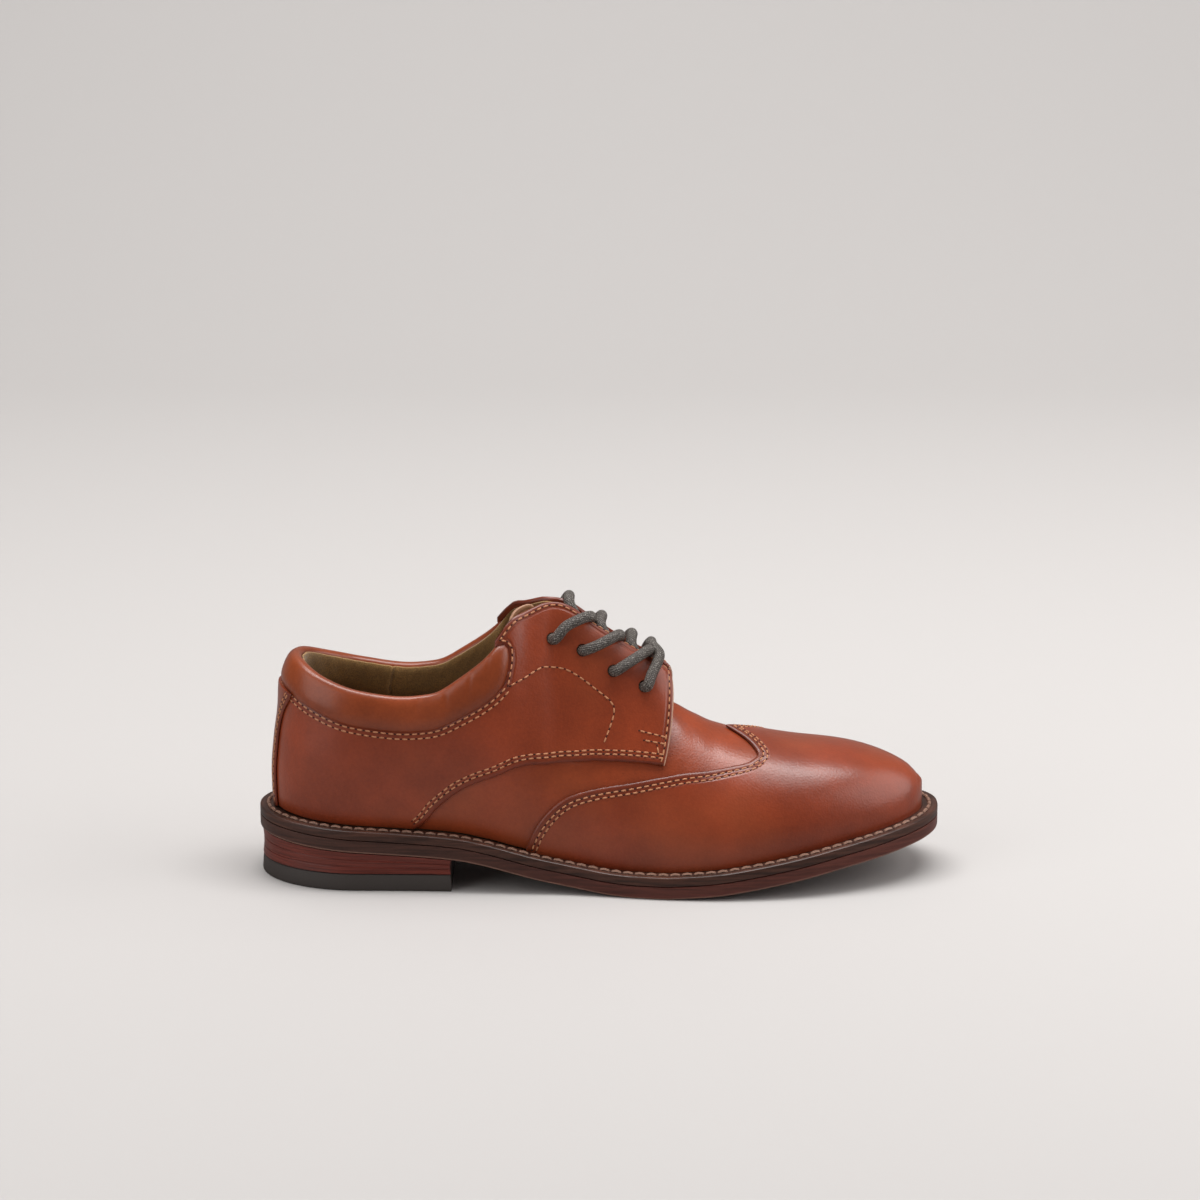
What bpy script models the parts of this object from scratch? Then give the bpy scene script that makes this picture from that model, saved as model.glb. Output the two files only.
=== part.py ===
"""Brogue shoe, one right shoe of tan leather with a plain wing cap and open lacing.

The toe points along +X, the inner (big toe) side is +Y and the shoe stands on z = 0.
The origin is on the floor, at the centre of the rubber top lift under the heel.
Every curved piece is read from one surface function of the last, last_point().
"""
import math

import bmesh
import bpy
import numpy as np

# The last and what it is laid out from, in metres
LAST_LENGTH = 0.2352
BALL_WIDTH = 0.0694
INSTEP_HEIGHT = 0.0890
VAMP_HEIGHT = 0.0680
HEEL_ROUND = 0.0300
TOE_ROUND = 0.0740
TOE_FULLNESS = 2.3
BACK_CURVE = 0.0070

# The bottom
WELT_WIDTH = 0.0074
WELT_THICKNESS = 0.0033
OUTSOLE_THICKNESS = 0.0047
INSOLE_THICKNESS = 0.0048
INSOLE_CLEARANCE = 0.0012
HEEL_HEIGHT = 0.0168
HEEL_LENGTH = 0.0720
TOP_LIFT_THICKNESS = 0.0062
HEEL_INSET = 0.0005
HEEL_HOLLOW = 0.0007
TOE_SPRING = 0.0153

# The upper's walls and overlays
WALL = 0.0018
QUARTER_STEP = 0.0013
QUARTER_ROOT = 0.0007
CAP_THICKNESS = 0.0012
CAP_GAP = 0.0005
STRIP_THICKNESS = 0.0011
STRIP_TOP_HALF = 0.0125
STRIP_LOW_HALF = 0.0070
STRIP_END = 0.02
STRIP_WIDENS = 0.45
ROLL_THICKNESS = 0.0058
ROLL_SEAM_LIFT = 0.014
ROLL_TAPER = 0.0052
ROLL_TIP = 0.03
ROLL_FULLNESS = 0.75
ROLL_SINK = 0.0006
ROLL_END = 0.0005
TONGUE_THICKNESS = 0.0024
TONGUE_DROP = 0.0014
TONGUE_HALF = 0.0150
TONGUE_CLEAR = 0.0014
THROAT_AHEAD = 0.022
SEAM_GAP = 0.0003

# Lacing
SLOT_WIDTH = 0.0046
HOLE_PAIRS = 4
HOLE_DIAMETER = 0.0044
HOLE_FIRST = 0.1000
HOLE_PITCH = 0.0112
HOLE_MARGIN = 0.0138
DRILL_REACH = 0.0061
CORD_DIAMETER = 0.0040
LACE_ADVANCE = 0.0115
BAR_ADVANCE = 0.0072
CORD_GAP = 0.0010
CROWN_RISE = 1.25
ARM_REACH = 0.65

# Stations along the last where the form changes, metres from its back
NOSE_STATION = 0.0865
NOSE_STEP = 0.005
QUARTER_TOP_DROP = 0.012
QUARTER_FRONT = 0.1442
FRONT_SWEEP = 0.0031
FRONT_CREST = 0.82
SPREAD_FROM = 0.45

# Grid fineness, the half span of a slope reading and the steepest slope it follows
PROBE = 0.004
CLOSEST = 0.006
STEEPEST = 0.2
LOWEST_ROW = 0.35
ROW_MARGIN = 0.04
STATIONS = 30
ROWS = 8
CORD_SIDES = 8

LATERAL = -1.0
MEDIAL = 1.0

# Plan of the feather line: centre and half width are shares of BALL_WIDTH
PLAN = {
    "station": (0.00, 0.15, 0.30, 0.42, 0.52, 0.62, 0.70, 0.80, 0.90, 1.00),
    "centre": (0.0, 0.0, -0.019, -0.041, -0.041, -0.012, 0.010, 0.030, 0.055, 0.069),
    "half": (0.330, 0.335, 0.333, 0.338, 0.387, 0.470, 0.500, 0.495, 0.474, 0.446),
}

# Underside of the outsole, as shares of HEEL_HEIGHT behind the tread and TOE_SPRING before it
RISE = {
    "station": (0.0, 0.144, 0.288, 0.337, 0.373, 0.418, 0.480, 0.517, 0.552, 0.600),
    "share": (1.0, 0.860, 0.714, 0.577, 0.440, 0.274, 0.107, 0.030, 0.0, 0.0),
}
SPRING = {
    "station": (0.600, 0.664, 0.700, 0.782, 0.850, 0.904, 0.958, 1.000),
    "share": (0.0, 0.085, 0.165, 0.390, 0.600, 0.745, 0.895, 1.0),
}

# Top of each section over the feather line: rim and facing as shares of INSTEP_HEIGHT
RIM = {
    "station": (0.0, 0.045, 0.107, 0.180, 0.243, 0.273, 0.319, 0.344, 0.358, 0.388, 0.419,
                0.438, 0.500, 0.561, 0.595, 0.611),
    "height": (0.653, 0.605, 0.570, 0.555, 0.578, 0.625, 0.731, 0.811, 0.876, 0.965, 1.018,
               1.022, 0.941, 0.848, 0.794, 0.742),
    "half": (0.335, 0.335, 0.335, 0.335, 0.330, 0.316, 0.281, 0.238, 0.200, 0.108, 0.042,
             0.0, 0.0, 0.0, 0.0, 0.0),
}

# Ridge of the last under the facings and along the vamp, as shares of VAMP_HEIGHT
RIDGE = {
    "station": (0.438, 0.512, 0.561, 0.617, 0.640, 0.663, 0.699, 0.752, 0.805, 0.860, 0.902,
                0.944, 0.980, 0.994, 1.0),
    "height": (1.170, 1.010, 0.910, 0.790, 0.735, 0.681, 0.617, 0.541, 0.474, 0.413, 0.361,
               0.292, 0.209, 0.157, 0.100),
}

# Form of a section: side bulge over BALL_WIDTH, the rest over the section's own size
SECTION = {
    "station": (0.0, 0.19, 0.34, 0.44, 0.56, 0.66, 0.80, 0.92, 1.0),
    "bulge": (0.070, 0.070, 0.085, 0.090, 0.055, 0.035, 0.030, 0.020, 0.0),
    "low": (0.30, 0.30, 0.33, 0.36, 0.40, 0.46, 0.56, 0.62, 0.50),
    "shoulder": (0.13, 0.14, 0.28, 0.40, 0.46, 0.56, 0.62, 0.64, 0.60),
    "high": (0.72, 0.72, 0.76, 0.84, 0.91, 0.99, 1.01, 1.01, 1.00),
}

# Back of the heel against height: push backward is negative, in shares of BACK_CURVE
BACK = {
    "height": (0.0, 0.10, 0.22, 0.43, 0.65, 0.80, 0.90, 1.00),
    "push": (0.0, -0.06, -0.07, 0.07, 0.31, 0.38, 0.65, 1.00),
}

# Lower edge of the quarter, seam of the collar roll and edge of the wing cap
QUARTER_EDGE = {
    "station": (0.0, 0.215, 0.236, 0.248, 0.270, 0.293, 0.323, 0.362, 0.403, 0.450, 0.500,
                0.560, 0.610),
    "row": (0.012, 0.012, 0.092, 0.170, 0.250, 0.302, 0.330, 0.338, 0.358, 0.393, 0.445,
            0.487, 0.508),
}
COLLAR_SEAM = {
    "station": (0.0, 0.053, 0.119, 0.256, 0.362),
    "row": (0.800, 0.770, 0.740, 0.730, 0.730),
}
UPPER_TOP = {
    "station": (0.367, 0.470, 0.538, 0.560, 1.0),
    "row": (0.610, 0.600, 0.640, 1.0, 1.0),
}
TONGUE = {
    "station": (0.389, 0.415, 0.470, 0.500, 0.530, 0.580),
    "half": (0.72, 0.95, 0.90, 0.72, 0.66, 0.60),
    "sunk": (0.0, 0.0, 0.10, 0.65, 1.0, 1.0),
}
WING_EDGE = {
    "row": (0.015, 0.08, 0.16, 0.24, 0.33, 0.42, 0.50, 0.58, 0.66, 0.73, 0.80, 0.88, 1.0),
    "station": (0.388, 0.397, 0.414, 0.442, 0.496, 0.570, 0.632, 0.686, 0.732, 0.744, 0.738,
                0.725, 0.696),
}


def clear_scene():
    """Remove every object that the file starts with."""
    for item in list(bpy.data.objects):
        bpy.data.objects.remove(item, do_unlink=True)


def read(table, key, column, at):
    """Smooth reading of one table column, with slopes that never overshoot."""
    xs = np.array(table[key], float)
    ys = np.array(table[column], float)
    at = np.clip(np.asarray(at, float), xs[0], xs[-1])
    steps = np.diff(xs)
    slopes = np.diff(ys) / steps
    tangents = np.zeros_like(ys)
    tangents[0] = slopes[0]
    tangents[-1] = slopes[-1]
    same_way = slopes[:-1] * slopes[1:] > 0.0
    total = slopes[:-1] + slopes[1:]
    mean = 2.0 * slopes[:-1] * slopes[1:] / np.where(same_way, total, 1.0)
    tangents[1:-1] = np.where(same_way, mean, 0.0)
    cell = np.clip(np.searchsorted(xs, at, side="right") - 1, 0, len(steps) - 1)
    t = (at - xs[cell]) / steps[cell]
    span = steps[cell]
    start = ys[cell] * (1 + 2 * t) * (1 - t) ** 2 + tangents[cell] * span * t * (1 - t) ** 2
    end = ys[cell + 1] * t * t * (3 - 2 * t) + tangents[cell + 1] * span * t * t * (t - 1)
    return start + end


def ease(value):
    """Smooth step from 0 to 1."""
    t = np.clip(value, 0.0, 1.0)
    return t * t * (3.0 - 2.0 * t)


def shoe_length():
    """Length of the sole, from the back of the welt to its toe."""
    return LAST_LENGTH + 2.0 * WELT_WIDTH


def sole_rise(x):
    """Height of the outsole's underside at x metres from the back of the sole."""
    share = np.asarray(x, float) / shoe_length()
    back = HEEL_HEIGHT * read(RISE, "station", "share", share)
    front = TOE_SPRING * read(SPRING, "station", "share", share)
    return back + front


def feather_height(x):
    """Height of the line where the upper stands on the welt."""
    return sole_rise(x) + OUTSOLE_THICKNESS + WELT_THICKNESS + 2.0 * SEAM_GAP


def end_factor(station):
    """Share of the full width left at a station, round at the heel and the toe."""
    heel = np.clip(1.0 - station * LAST_LENGTH / HEEL_ROUND, 0.0, 1.0)
    toe = np.clip(1.0 - (1.0 - station) * LAST_LENGTH / TOE_ROUND, 0.0, 1.0)
    round_heel = np.sqrt(np.clip(1.0 - heel**2, 0.0, 1.0))
    round_toe = np.clip(1.0 - toe**TOE_FULLNESS, 0.0, 1.0) ** (1.0 / TOE_FULLNESS)
    return round_heel * round_toe


def plan_half(station, side):
    """Centre and half width of the feather line."""
    centre = BALL_WIDTH * read(PLAN, "station", "centre", station)
    half = BALL_WIDTH * read(PLAN, "station", "half", station) * end_factor(station)
    return centre, half * side


def top_height(station):
    """Height of a section's top over the feather line: rim at the back, ridge in front."""
    rim = INSTEP_HEIGHT * read(RIM, "station", "height", station)
    ridge = VAMP_HEIGHT * read(RIDGE, "station", "height", station)
    blend = ease((station - RIM["station"][7]) / (RIDGE["station"][0] - RIM["station"][7]))
    return rim * (1.0 - blend) + ridge * blend


def last_point(station, row, side):
    """Outer face of the lasted upper.

    station runs from 0 at the heel to 1 at the toe, row from 0 at the feather line to 1 at
    the rim or ridge, side is LATERAL or MEDIAL. Each section is one cubic arc from the
    feather line to its top, and the back of the heel is pushed by the BACK table.
    """
    station, row = np.broadcast_arrays(np.asarray(station, float), np.asarray(row, float))
    x = WELT_WIDTH + station * LAST_LENGTH
    centre, foot = plan_half(station, side)
    height = top_height(station)
    closing = end_factor(station)
    rim = BALL_WIDTH * read(RIM, "station", "half", station) * side * closing
    bulge = BALL_WIDTH * read(SECTION, "station", "bulge", station) * side * closing
    shoulder = read(SECTION, "station", "shoulder", station) * foot
    low = read(SECTION, "station", "low", station) * height
    high = read(SECTION, "station", "high", station) * height
    weights = ((1 - row) ** 3, 3 * row * (1 - row) ** 2, 3 * row**2 * (1 - row), row**3)
    offset = weights[0] * foot + weights[1] * (foot + bulge)
    offset = offset + weights[2] * (rim + shoulder) + weights[3] * rim
    z = weights[1] * low + weights[2] * high + weights[3] * height
    share = z / height
    push = BACK_CURVE * read(BACK, "height", "push", share)
    x = x + push * (1.0 - ease(station * LAST_LENGTH / HEEL_LENGTH))
    return np.stack([x, centre + offset, feather_height(x) + z], axis=-1)


def normals(points, side):
    """Unit outward normals of a grid of points, rows along the last and columns up it."""
    along = np.gradient(points, axis=0)
    up = np.gradient(points, axis=1)
    cross = np.cross(along, up) * -side
    return cross / np.linalg.norm(cross, axis=-1, keepdims=True)


def squared(vectors, station):
    """Normals with the sideways share taken out on the heel's middle line."""
    flat = vectors.copy()
    flat[station[:, 0] < 1e-6, :, 1] = 0.0
    return flat / np.linalg.norm(flat, axis=-1, keepdims=True)


def lifted(points, direction, amount):
    """A grid moved along its normals."""
    return points + direction * amount


def station_run(start, end, count, extra=()):
    """Stations close together at the round ends of the last and wider between them."""
    full = 0.5 - 0.5 * np.cos(np.linspace(0.0, math.pi, count))
    inner = full[(full > start + CLOSEST) & (full < end - CLOSEST)]
    for value in extra:
        inner = inner[np.abs(inner - value) > CLOSEST]
    return np.unique(np.concatenate([[start], inner, np.array(extra), [end]]))


def new_object(name, verts, faces, material):
    """Mesh object in the shoe's frame, with its faces turned outward."""
    mesh = bpy.data.meshes.new(name)
    origin = HEEL_LENGTH / 2.0
    mesh.from_pydata([(v[0] - origin, v[1], v[2]) for v in verts], [], faces)
    work = bmesh.new()
    work.from_mesh(mesh)
    bmesh.ops.remove_doubles(work, verts=work.verts, dist=1e-6)
    bmesh.ops.dissolve_degenerate(work, edges=work.edges, dist=1e-6)
    bmesh.ops.recalc_face_normals(work, faces=work.faces)
    work.to_mesh(mesh)
    work.free()
    mesh.shade_smooth()
    mesh.set_sharp_from_angle(angle=math.radians(40.0))
    item = bpy.data.objects.new(name, mesh)
    bpy.context.scene.collection.objects.link(item)
    mesh.materials.append(material)
    return item


def finish(name, colour, roughness, metallic=0.0):
    """Principled material from a colour, a roughness and a metallic value."""
    material = bpy.data.materials.new(name)
    material.use_nodes = True
    shader = material.node_tree.nodes["Principled BSDF"]
    shader.inputs["Base Color"].default_value = (*colour, 1.0)
    shader.inputs["Roughness"].default_value = roughness
    shader.inputs["Metallic"].default_value = metallic
    return material


def slab(outer, inner):
    """Vertices and faces of the solid between two open grids of the same size."""
    rows, columns = outer.shape[:2]
    verts = [tuple(p) for p in outer.reshape(-1, 3)] + [tuple(p) for p in inner.reshape(-1, 3)]
    shift = rows * columns
    faces = []
    for i in range(rows - 1):
        for j in range(columns - 1):
            a = i * columns + j
            quad = (a, a + columns, a + columns + 1, a + 1)
            faces.append(quad)
            faces.append(tuple(shift + k for k in reversed(quad)))
    border = [i * columns for i in range(rows)]
    border += [(rows - 1) * columns + j for j in range(1, columns)]
    border += [i * columns + columns - 1 for i in range(rows - 2, -1, -1)]
    border += list(range(columns - 2, 0, -1))
    for k, a in enumerate(border):
        b = border[(k + 1) % len(border)]
        faces.append((a, shift + a, shift + b, b))
    return verts, faces


def join_solids(target, others, operation="UNION"):
    """Apply exact booleans of other objects to the target and remove them."""
    for other in others:
        cut = target.modifiers.new("join", "BOOLEAN")
        cut.operation = operation
        cut.solver = "EXACT"
        cut.object = other
    bpy.context.view_layer.update()
    graph = bpy.context.evaluated_depsgraph_get()
    mesh = bpy.data.meshes.new_from_object(target.evaluated_get(graph))
    target.modifiers.clear()
    material = target.data.materials[0]
    target.data = mesh
    mesh.materials.clear()
    mesh.materials.append(material)
    for other in others:
        bpy.data.objects.remove(other, do_unlink=True)
    work = bmesh.new()
    work.from_mesh(mesh)
    bmesh.ops.remove_doubles(work, verts=work.verts, dist=2e-6)
    bmesh.ops.dissolve_degenerate(work, edges=work.edges, dist=2e-6)
    bmesh.ops.triangulate(work, faces=work.faces)
    work.to_mesh(mesh)
    work.free()
    mesh.shade_smooth()
    mesh.set_sharp_from_angle(angle=math.radians(40.0))
    return target


def wrapped(name, outers, thickness, shared, material):
    """Solid of one thickness from a lateral and a medial grid, welded where they are shared."""
    outers = [grid.copy() for grid in outers]
    directions = [normals(grid, side) for grid, side in zip(outers, (LATERAL, MEDIAL))]
    middle = (outers[0] + outers[1]) / 2.0
    mean = directions[0] + directions[1]
    mean[-1] = mean[-1] + np.array([1.0, 0.0, 0.0])
    mean[-1, -1] += np.array([0.0, 0.0, 1.0])
    mean /= np.maximum(np.linalg.norm(mean, axis=-1, keepdims=True), 1e-9)
    rows, columns = shared.shape
    keep = shared.reshape(-1)
    verts = []
    faces = []
    for outer, direction in zip(outers, directions):
        outer[shared] = middle[shared]
        direction[shared] = mean[shared]
        side_verts, side_faces = slab(outer, lifted(outer, direction, -thickness))
        for face in side_faces:
            flat = [k % (rows * columns) for k in face]
            is_rim = len({k // (rows * columns) for k in face}) == 2
            if not (is_rim and all(keep[k] for k in flat)):
                faces.append(tuple(k + len(verts) for k in face))
        verts += side_verts
    return new_object(name, verts, faces, material)


def upper_shell(material):
    """Lasted wall, open at the collar and the throat and underneath, ridge closed in front."""
    nose = NOSE_STATION / LAST_LENGTH
    throat, closed_from = UPPER_TOP["station"][2:4]
    stations = station_run(0.0, 1.0, STATIONS, (nose, nose + NOSE_STEP, throat, closed_from))
    rows = np.linspace(0.0, 1.0, ROWS + 1)
    seam = read(COLLAR_SEAM, "station", "row", stations)
    top = np.where(stations <= nose, seam, read(UPPER_TOP, "station", "row", stations))
    grid_rows = rows[None, :] * top[:, None]
    grid_station = np.repeat(stations[:, None], len(rows), axis=1)
    shared = np.zeros(grid_rows.shape, bool)
    shared[0] = True
    shared[-1] = True
    shared[stations >= closed_from - 1e-9, -1] = True
    outers = [last_point(grid_station, grid_rows, side) for side in (LATERAL, MEDIAL)]
    return wrapped("upper", outers, WALL, shared, material)


def quarter_point(station, row, side):
    """Outer face of the quarter: the last plus the step, lifted toward the lacing edge."""
    base = last_point(station, row, side)
    face = lifted(base, squared(normals(base, side), station), QUARTER_STEP)
    rim = INSTEP_HEIGHT * read(RIM, "station", "height", station)
    spread = ease((row - SPREAD_FROM) / (1.0 - SPREAD_FROM))
    face[..., 2] += np.maximum(rim - top_height(station) - QUARTER_STEP, 0.0) * spread
    half = BALL_WIDTH * read(RIM, "station", "half", station)
    face[..., 1] += side * np.maximum(SLOT_WIDTH / 2.0 - half, 0.0) * spread
    return face


def facing_edge(stations, side):
    """Points along the facing's free edge."""
    rows = np.repeat(np.array([[0.96, 0.98, 1.0]]), len(stations), axis=0)
    return quarter_point(np.repeat(stations[:, None], 3, axis=1), rows, side)[:, -1]


def edge_over(station, side):
    """One point of the facing's free edge."""
    return facing_edge(np.array([station - PROBE, station, station + PROBE]), side)[1].copy()


def quarter_solid(material):
    """Both quarters with their facings, rooted in the wall below them."""
    nose = NOSE_STATION / LAST_LENGTH
    front = QUARTER_FRONT / LAST_LENGTH
    behind = nose + NOSE_STEP / 10.0
    stations = station_run(0.0, front, STATIONS, (behind, behind + NOSE_STEP))
    rows = np.linspace(0.0, 1.0, ROWS + 1)
    low = read(QUARTER_EDGE, "station", "row", stations)
    seam = read(COLLAR_SEAM, "station", "row", stations) - QUARTER_TOP_DROP
    top = np.where(stations <= behind + NOSE_STEP / 2.0, seam, 1.0)
    grid_rows = low[:, None] + rows[None, :] * (top - low)[:, None]
    grid_station = np.repeat(stations[:, None], len(rows), axis=1)
    sweep = FRONT_SWEEP / LAST_LENGTH * ((grid_rows - FRONT_CREST) / (FRONT_CREST - low[-1])) ** 2
    grid_station = grid_station - sweep * ease((grid_station / front - 0.75) * 4.0)
    shared = np.zeros(grid_rows.shape, bool)
    shared[0] = True
    outers = [quarter_point(grid_station, grid_rows, side) for side in (LATERAL, MEDIAL)]
    return wrapped("quarter_form", outers, QUARTER_STEP + QUARTER_ROOT, shared, material)


def facing_place(x, margin, side):
    """Point of the facing at x along the last and a distance from its free edge, and its normal."""
    station = x / LAST_LENGTH
    around = np.array([station - PROBE, station, station + PROBE])
    rows = np.linspace(0.6, 1.0, 41)
    grid = quarter_point(
        np.repeat(around[:, None], len(rows), axis=1),
        np.repeat(rows[None, :], 3, axis=0),
        side,
    )
    steps = np.linalg.norm(np.diff(grid[1], axis=0), axis=1)
    from_edge = np.concatenate([np.cumsum(steps[::-1])[::-1], [0.0]])
    pick = int(np.argmin(np.abs(from_edge - margin)))
    return grid[1, pick], normals(grid, side)[1, pick]


def hole_place(index, side):
    """Centre and outward normal of one lace hole on the facing."""
    return facing_place(HOLE_FIRST + index * HOLE_PITCH, HOLE_MARGIN, side)


def rod(name, start, end, radius, sides, material):
    """Plain closed cylinder between two points."""
    path = [np.array(start), np.array(end)]
    return cord(name, path, radius, sides, material)


def cord(name, path, radius, sides, material):
    """Closed tube along a path, its rings turned by the shortest way."""
    path = [np.asarray(p, float) for p in path]
    ring_frame = None
    verts = []
    faces = []
    for i, point in enumerate(path):
        before = path[max(i - 1, 0)]
        after = path[min(i + 1, len(path) - 1)]
        tangent = (after - before) / np.linalg.norm(after - before)
        if ring_frame is None:
            guide = np.array([0.0, 0.0, 1.0]) if abs(tangent[2]) < 0.9 else np.array([1.0, 0.0, 0.0])
            ring_frame = np.cross(tangent, guide)
        ring_frame = ring_frame - tangent * np.dot(ring_frame, tangent)
        ring_frame = ring_frame / np.linalg.norm(ring_frame)
        other = np.cross(tangent, ring_frame)
        for k in range(sides):
            angle = 2.0 * math.pi * k / sides
            verts.append(point + radius * (math.cos(angle) * ring_frame + math.sin(angle) * other))
    for i in range(len(path) - 1):
        for k in range(sides):
            n = (k + 1) % sides
            faces.append((i * sides + k, i * sides + n, (i + 1) * sides + n, (i + 1) * sides + k))
    faces.append(tuple(range(sides - 1, -1, -1)))
    faces.append(tuple((len(path) - 1) * sides + k for k in range(sides)))
    return new_object(name, verts, faces, material)


def build_upper(material):
    """The upper as one hollow solid: wall, both quarters and the lace holes."""
    upper = upper_shell(material)
    join_solids(upper, [quarter_solid(material)])
    drills = []
    for index in range(HOLE_PAIRS):
        for side in (LATERAL, MEDIAL):
            centre, direction = hole_place(index, side)
            reach = direction * DRILL_REACH
            drill = rod("drill", centre - reach, centre + reach, HOLE_DIAMETER / 2, 10, material)
            drills.append(drill)
    return join_solids(upper, drills, "DIFFERENCE")


def build_wing_cap(material):
    """Wing cap: overlay from the feather line to the wing's edge on both sides."""
    shares = 1.0 - (1.0 - np.linspace(0.0, 1.0, 13)) ** 1.6
    rows = np.array(WING_EDGE["row"])
    edge = np.array(WING_EDGE["station"])
    grid_station = edge[None, :] + shares[:, None] * (1.0 - edge)[None, :]
    grid_rows = np.repeat(rows[None, :], len(shares), axis=0)
    shared = np.zeros(grid_rows.shape, bool)
    shared[-1] = True
    shared[:, -1] = True
    outers = []
    for side in (LATERAL, MEDIAL):
        base = last_point(grid_station, grid_rows, side)
        direction = normals(base, side)
        direction[-1] = (1.0, 0.0, 0.0)
        outers.append(lifted(base, direction, CAP_GAP + CAP_THICKNESS))
    return wrapped("wing_cap", outers, CAP_THICKNESS, shared, material)


def build_back_strip(material):
    """Strip over the back seam, wide under the collar and narrow lower down."""
    rows = np.linspace(STRIP_END, COLLAR_SEAM["row"][0] - STRIP_END, 9)
    widening = ease((rows - STRIP_WIDENS) / (COLLAR_SEAM["row"][0] - STRIP_WIDENS)) ** 2
    half = STRIP_LOW_HALF + (STRIP_TOP_HALF - STRIP_LOW_HALF) * widening
    across = np.linspace(-1.0, 1.0, 9)
    foot = read(PLAN, "station", "half", 0.0) * BALL_WIDTH
    reach = np.clip(np.abs(across)[:, None] * half[None, :] / foot, 0.0, 0.95)
    grid_station = HEEL_ROUND / LAST_LENGTH * (1.0 - np.sqrt(1.0 - reach**2))
    grid_rows = np.repeat(rows[None, :], len(across), axis=0)
    outer = np.zeros((len(across), len(rows), 3))
    for side, pick in ((LATERAL, across < 0), (MEDIAL, across >= 0)):
        outer[pick] = last_point(grid_station, grid_rows, side)[pick]
    direction = normals(outer, MEDIAL)
    base = lifted(outer, direction, QUARTER_STEP + SEAM_GAP)
    verts, faces = slab(lifted(base, direction, STRIP_THICKNESS), base)
    return new_object("back_strip", verts, faces, material)


def build_collar_roll(material):
    """Padded roll from the collar seam up over the rim, round the heel from nose to nose."""
    nose = NOSE_STATION / LAST_LENGTH
    half_run = station_run(0.0, nose - ROLL_END / LAST_LENGTH, STATIONS + 6)
    turns = np.linspace(0.0, 2.0 * math.pi, 11)[:-1]
    sections = []
    for side in (LATERAL, MEDIAL):
        seam = read(COLLAR_SEAM, "station", "row", half_run)
        rows = np.stack([seam + ROLL_SEAM_LIFT, (seam + 1.0) / 2.0, np.ones_like(seam)], axis=1)
        grid_station = np.repeat(half_run[:, None], 3, axis=1)
        base = last_point(grid_station, rows, side)
        direction = squared(normals(base, side), grid_station)[:, 1]
        middle = (base[:, 0] + base[:, 2]) / 2.0
        reach = (base[:, 2] - base[:, 0]) / 2.0
        to_nose = (half_run[-1] - half_run) * LAST_LENGTH
        remaining = np.clip(to_nose / ROLL_TAPER, ROLL_TIP, 1.0)
        closing = np.sqrt(1.0 - (1.0 - remaining) ** 2)[:, None, None]
        up = np.sign(np.cos(turns)) * np.abs(np.cos(turns)) ** ROLL_FULLNESS
        out = np.sign(np.sin(turns)) * np.abs(np.sin(turns)) ** ROLL_FULLNESS
        loop = middle[:, None, :] + closing * (
            reach[:, None, :] * up[None, :, None]
            + direction[:, None, :] * (ROLL_THICKNESS / 2.0) * out[None, :, None]
        )
        loop = loop - direction[:, None, :] * ROLL_SINK
        sections.append(loop)
    path = np.concatenate([sections[0][::-1], sections[1][1:]], axis=0)
    count = len(turns)
    verts = [tuple(p) for p in path.reshape(-1, 3)]
    faces = []
    for i in range(len(path) - 1):
        for k in range(count):
            n = (k + 1) % count
            faces.append((i * count + k, i * count + n, (i + 1) * count + n, (i + 1) * count + k))
    faces.append(tuple(range(count)))
    faces.append(tuple((len(path) - 1) * count + k for k in range(count - 1, -1, -1)))
    return new_object("collar_roll", verts, faces, material)


def under_surface(surface, station, reach, clear, top=1.0):
    """Heights that stay clear below a surface, at distances from the middle of the instep.

    The surface is followed up to the row top, and nearer the middle there is no limit.
    """
    rows = np.linspace(LOWEST_ROW, top, 45)
    around = np.array([[station - PROBE], [station], [station + PROBE]])
    grid = surface(np.repeat(around, len(rows), axis=1), np.repeat(rows[None, :], 3, axis=0), LATERAL)
    upward = np.clip(normals(grid, LATERAL)[1, :, 2], STEEPEST, 1.0)
    centre = BALL_WIDTH * read(PLAN, "station", "centre", station)
    across = np.abs(grid[1, ::-1, 1] - centre)
    lowered = (grid[1, :, 2] - clear / upward)[::-1]
    inner = lowered[0] if top == 1.0 else np.inf
    return np.interp(reach, across, np.minimum.accumulate(lowered), left=inner)


def build_tongue(material):
    """Tongue from under the vamp's throat edge to just past the top of the lacing."""
    stations = np.linspace(TONGUE["station"][0], TONGUE["station"][-1], 12)
    across = np.linspace(-1.0, 1.0, 11)
    centre = BALL_WIDTH * read(PLAN, "station", "centre", stations)
    half = TONGUE_HALF * read(TONGUE, "station", "half", stations)
    sunk = read(TONGUE, "station", "sunk", stations)
    outer = np.zeros((len(stations), len(across), 3))
    outer[..., 0] = WELT_WIDTH + LAST_LENGTH * stations[:, None]
    outer[..., 1] = centre[:, None] + half[:, None] * across[None, :]
    for i, station in enumerate(stations):
        reach = np.abs(half[i] * across)
        below_facing = QUARTER_STEP + QUARTER_ROOT + TONGUE_DROP
        facing = under_surface(quarter_point, station, reach, below_facing)
        vamp = under_surface(last_point, station, reach, WALL + SEAM_GAP)
        ahead = [station, station + THROAT_AHEAD]
        shell_top = float(read(UPPER_TOP, "station", "row", ahead).max()) + ROW_MARGIN
        seated = station > UPPER_TOP["station"][3]
        clear = WALL + (SEAM_GAP if seated else TONGUE_CLEAR)
        wall = under_surface(last_point, station, reach, clear, min(shell_top, 1.0))
        outer[i, :, 2] = np.minimum(facing * (1.0 - sunk[i]) + vamp * sunk[i], wall)
    direction = normals(outer, LATERAL) + np.array([0.0, 0.0, 1.0])
    direction /= direction[..., 2:]
    verts, faces = slab(outer, lifted(outer, direction, -TONGUE_THICKNESS))
    return new_object("tongue", verts, faces, material)


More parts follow.
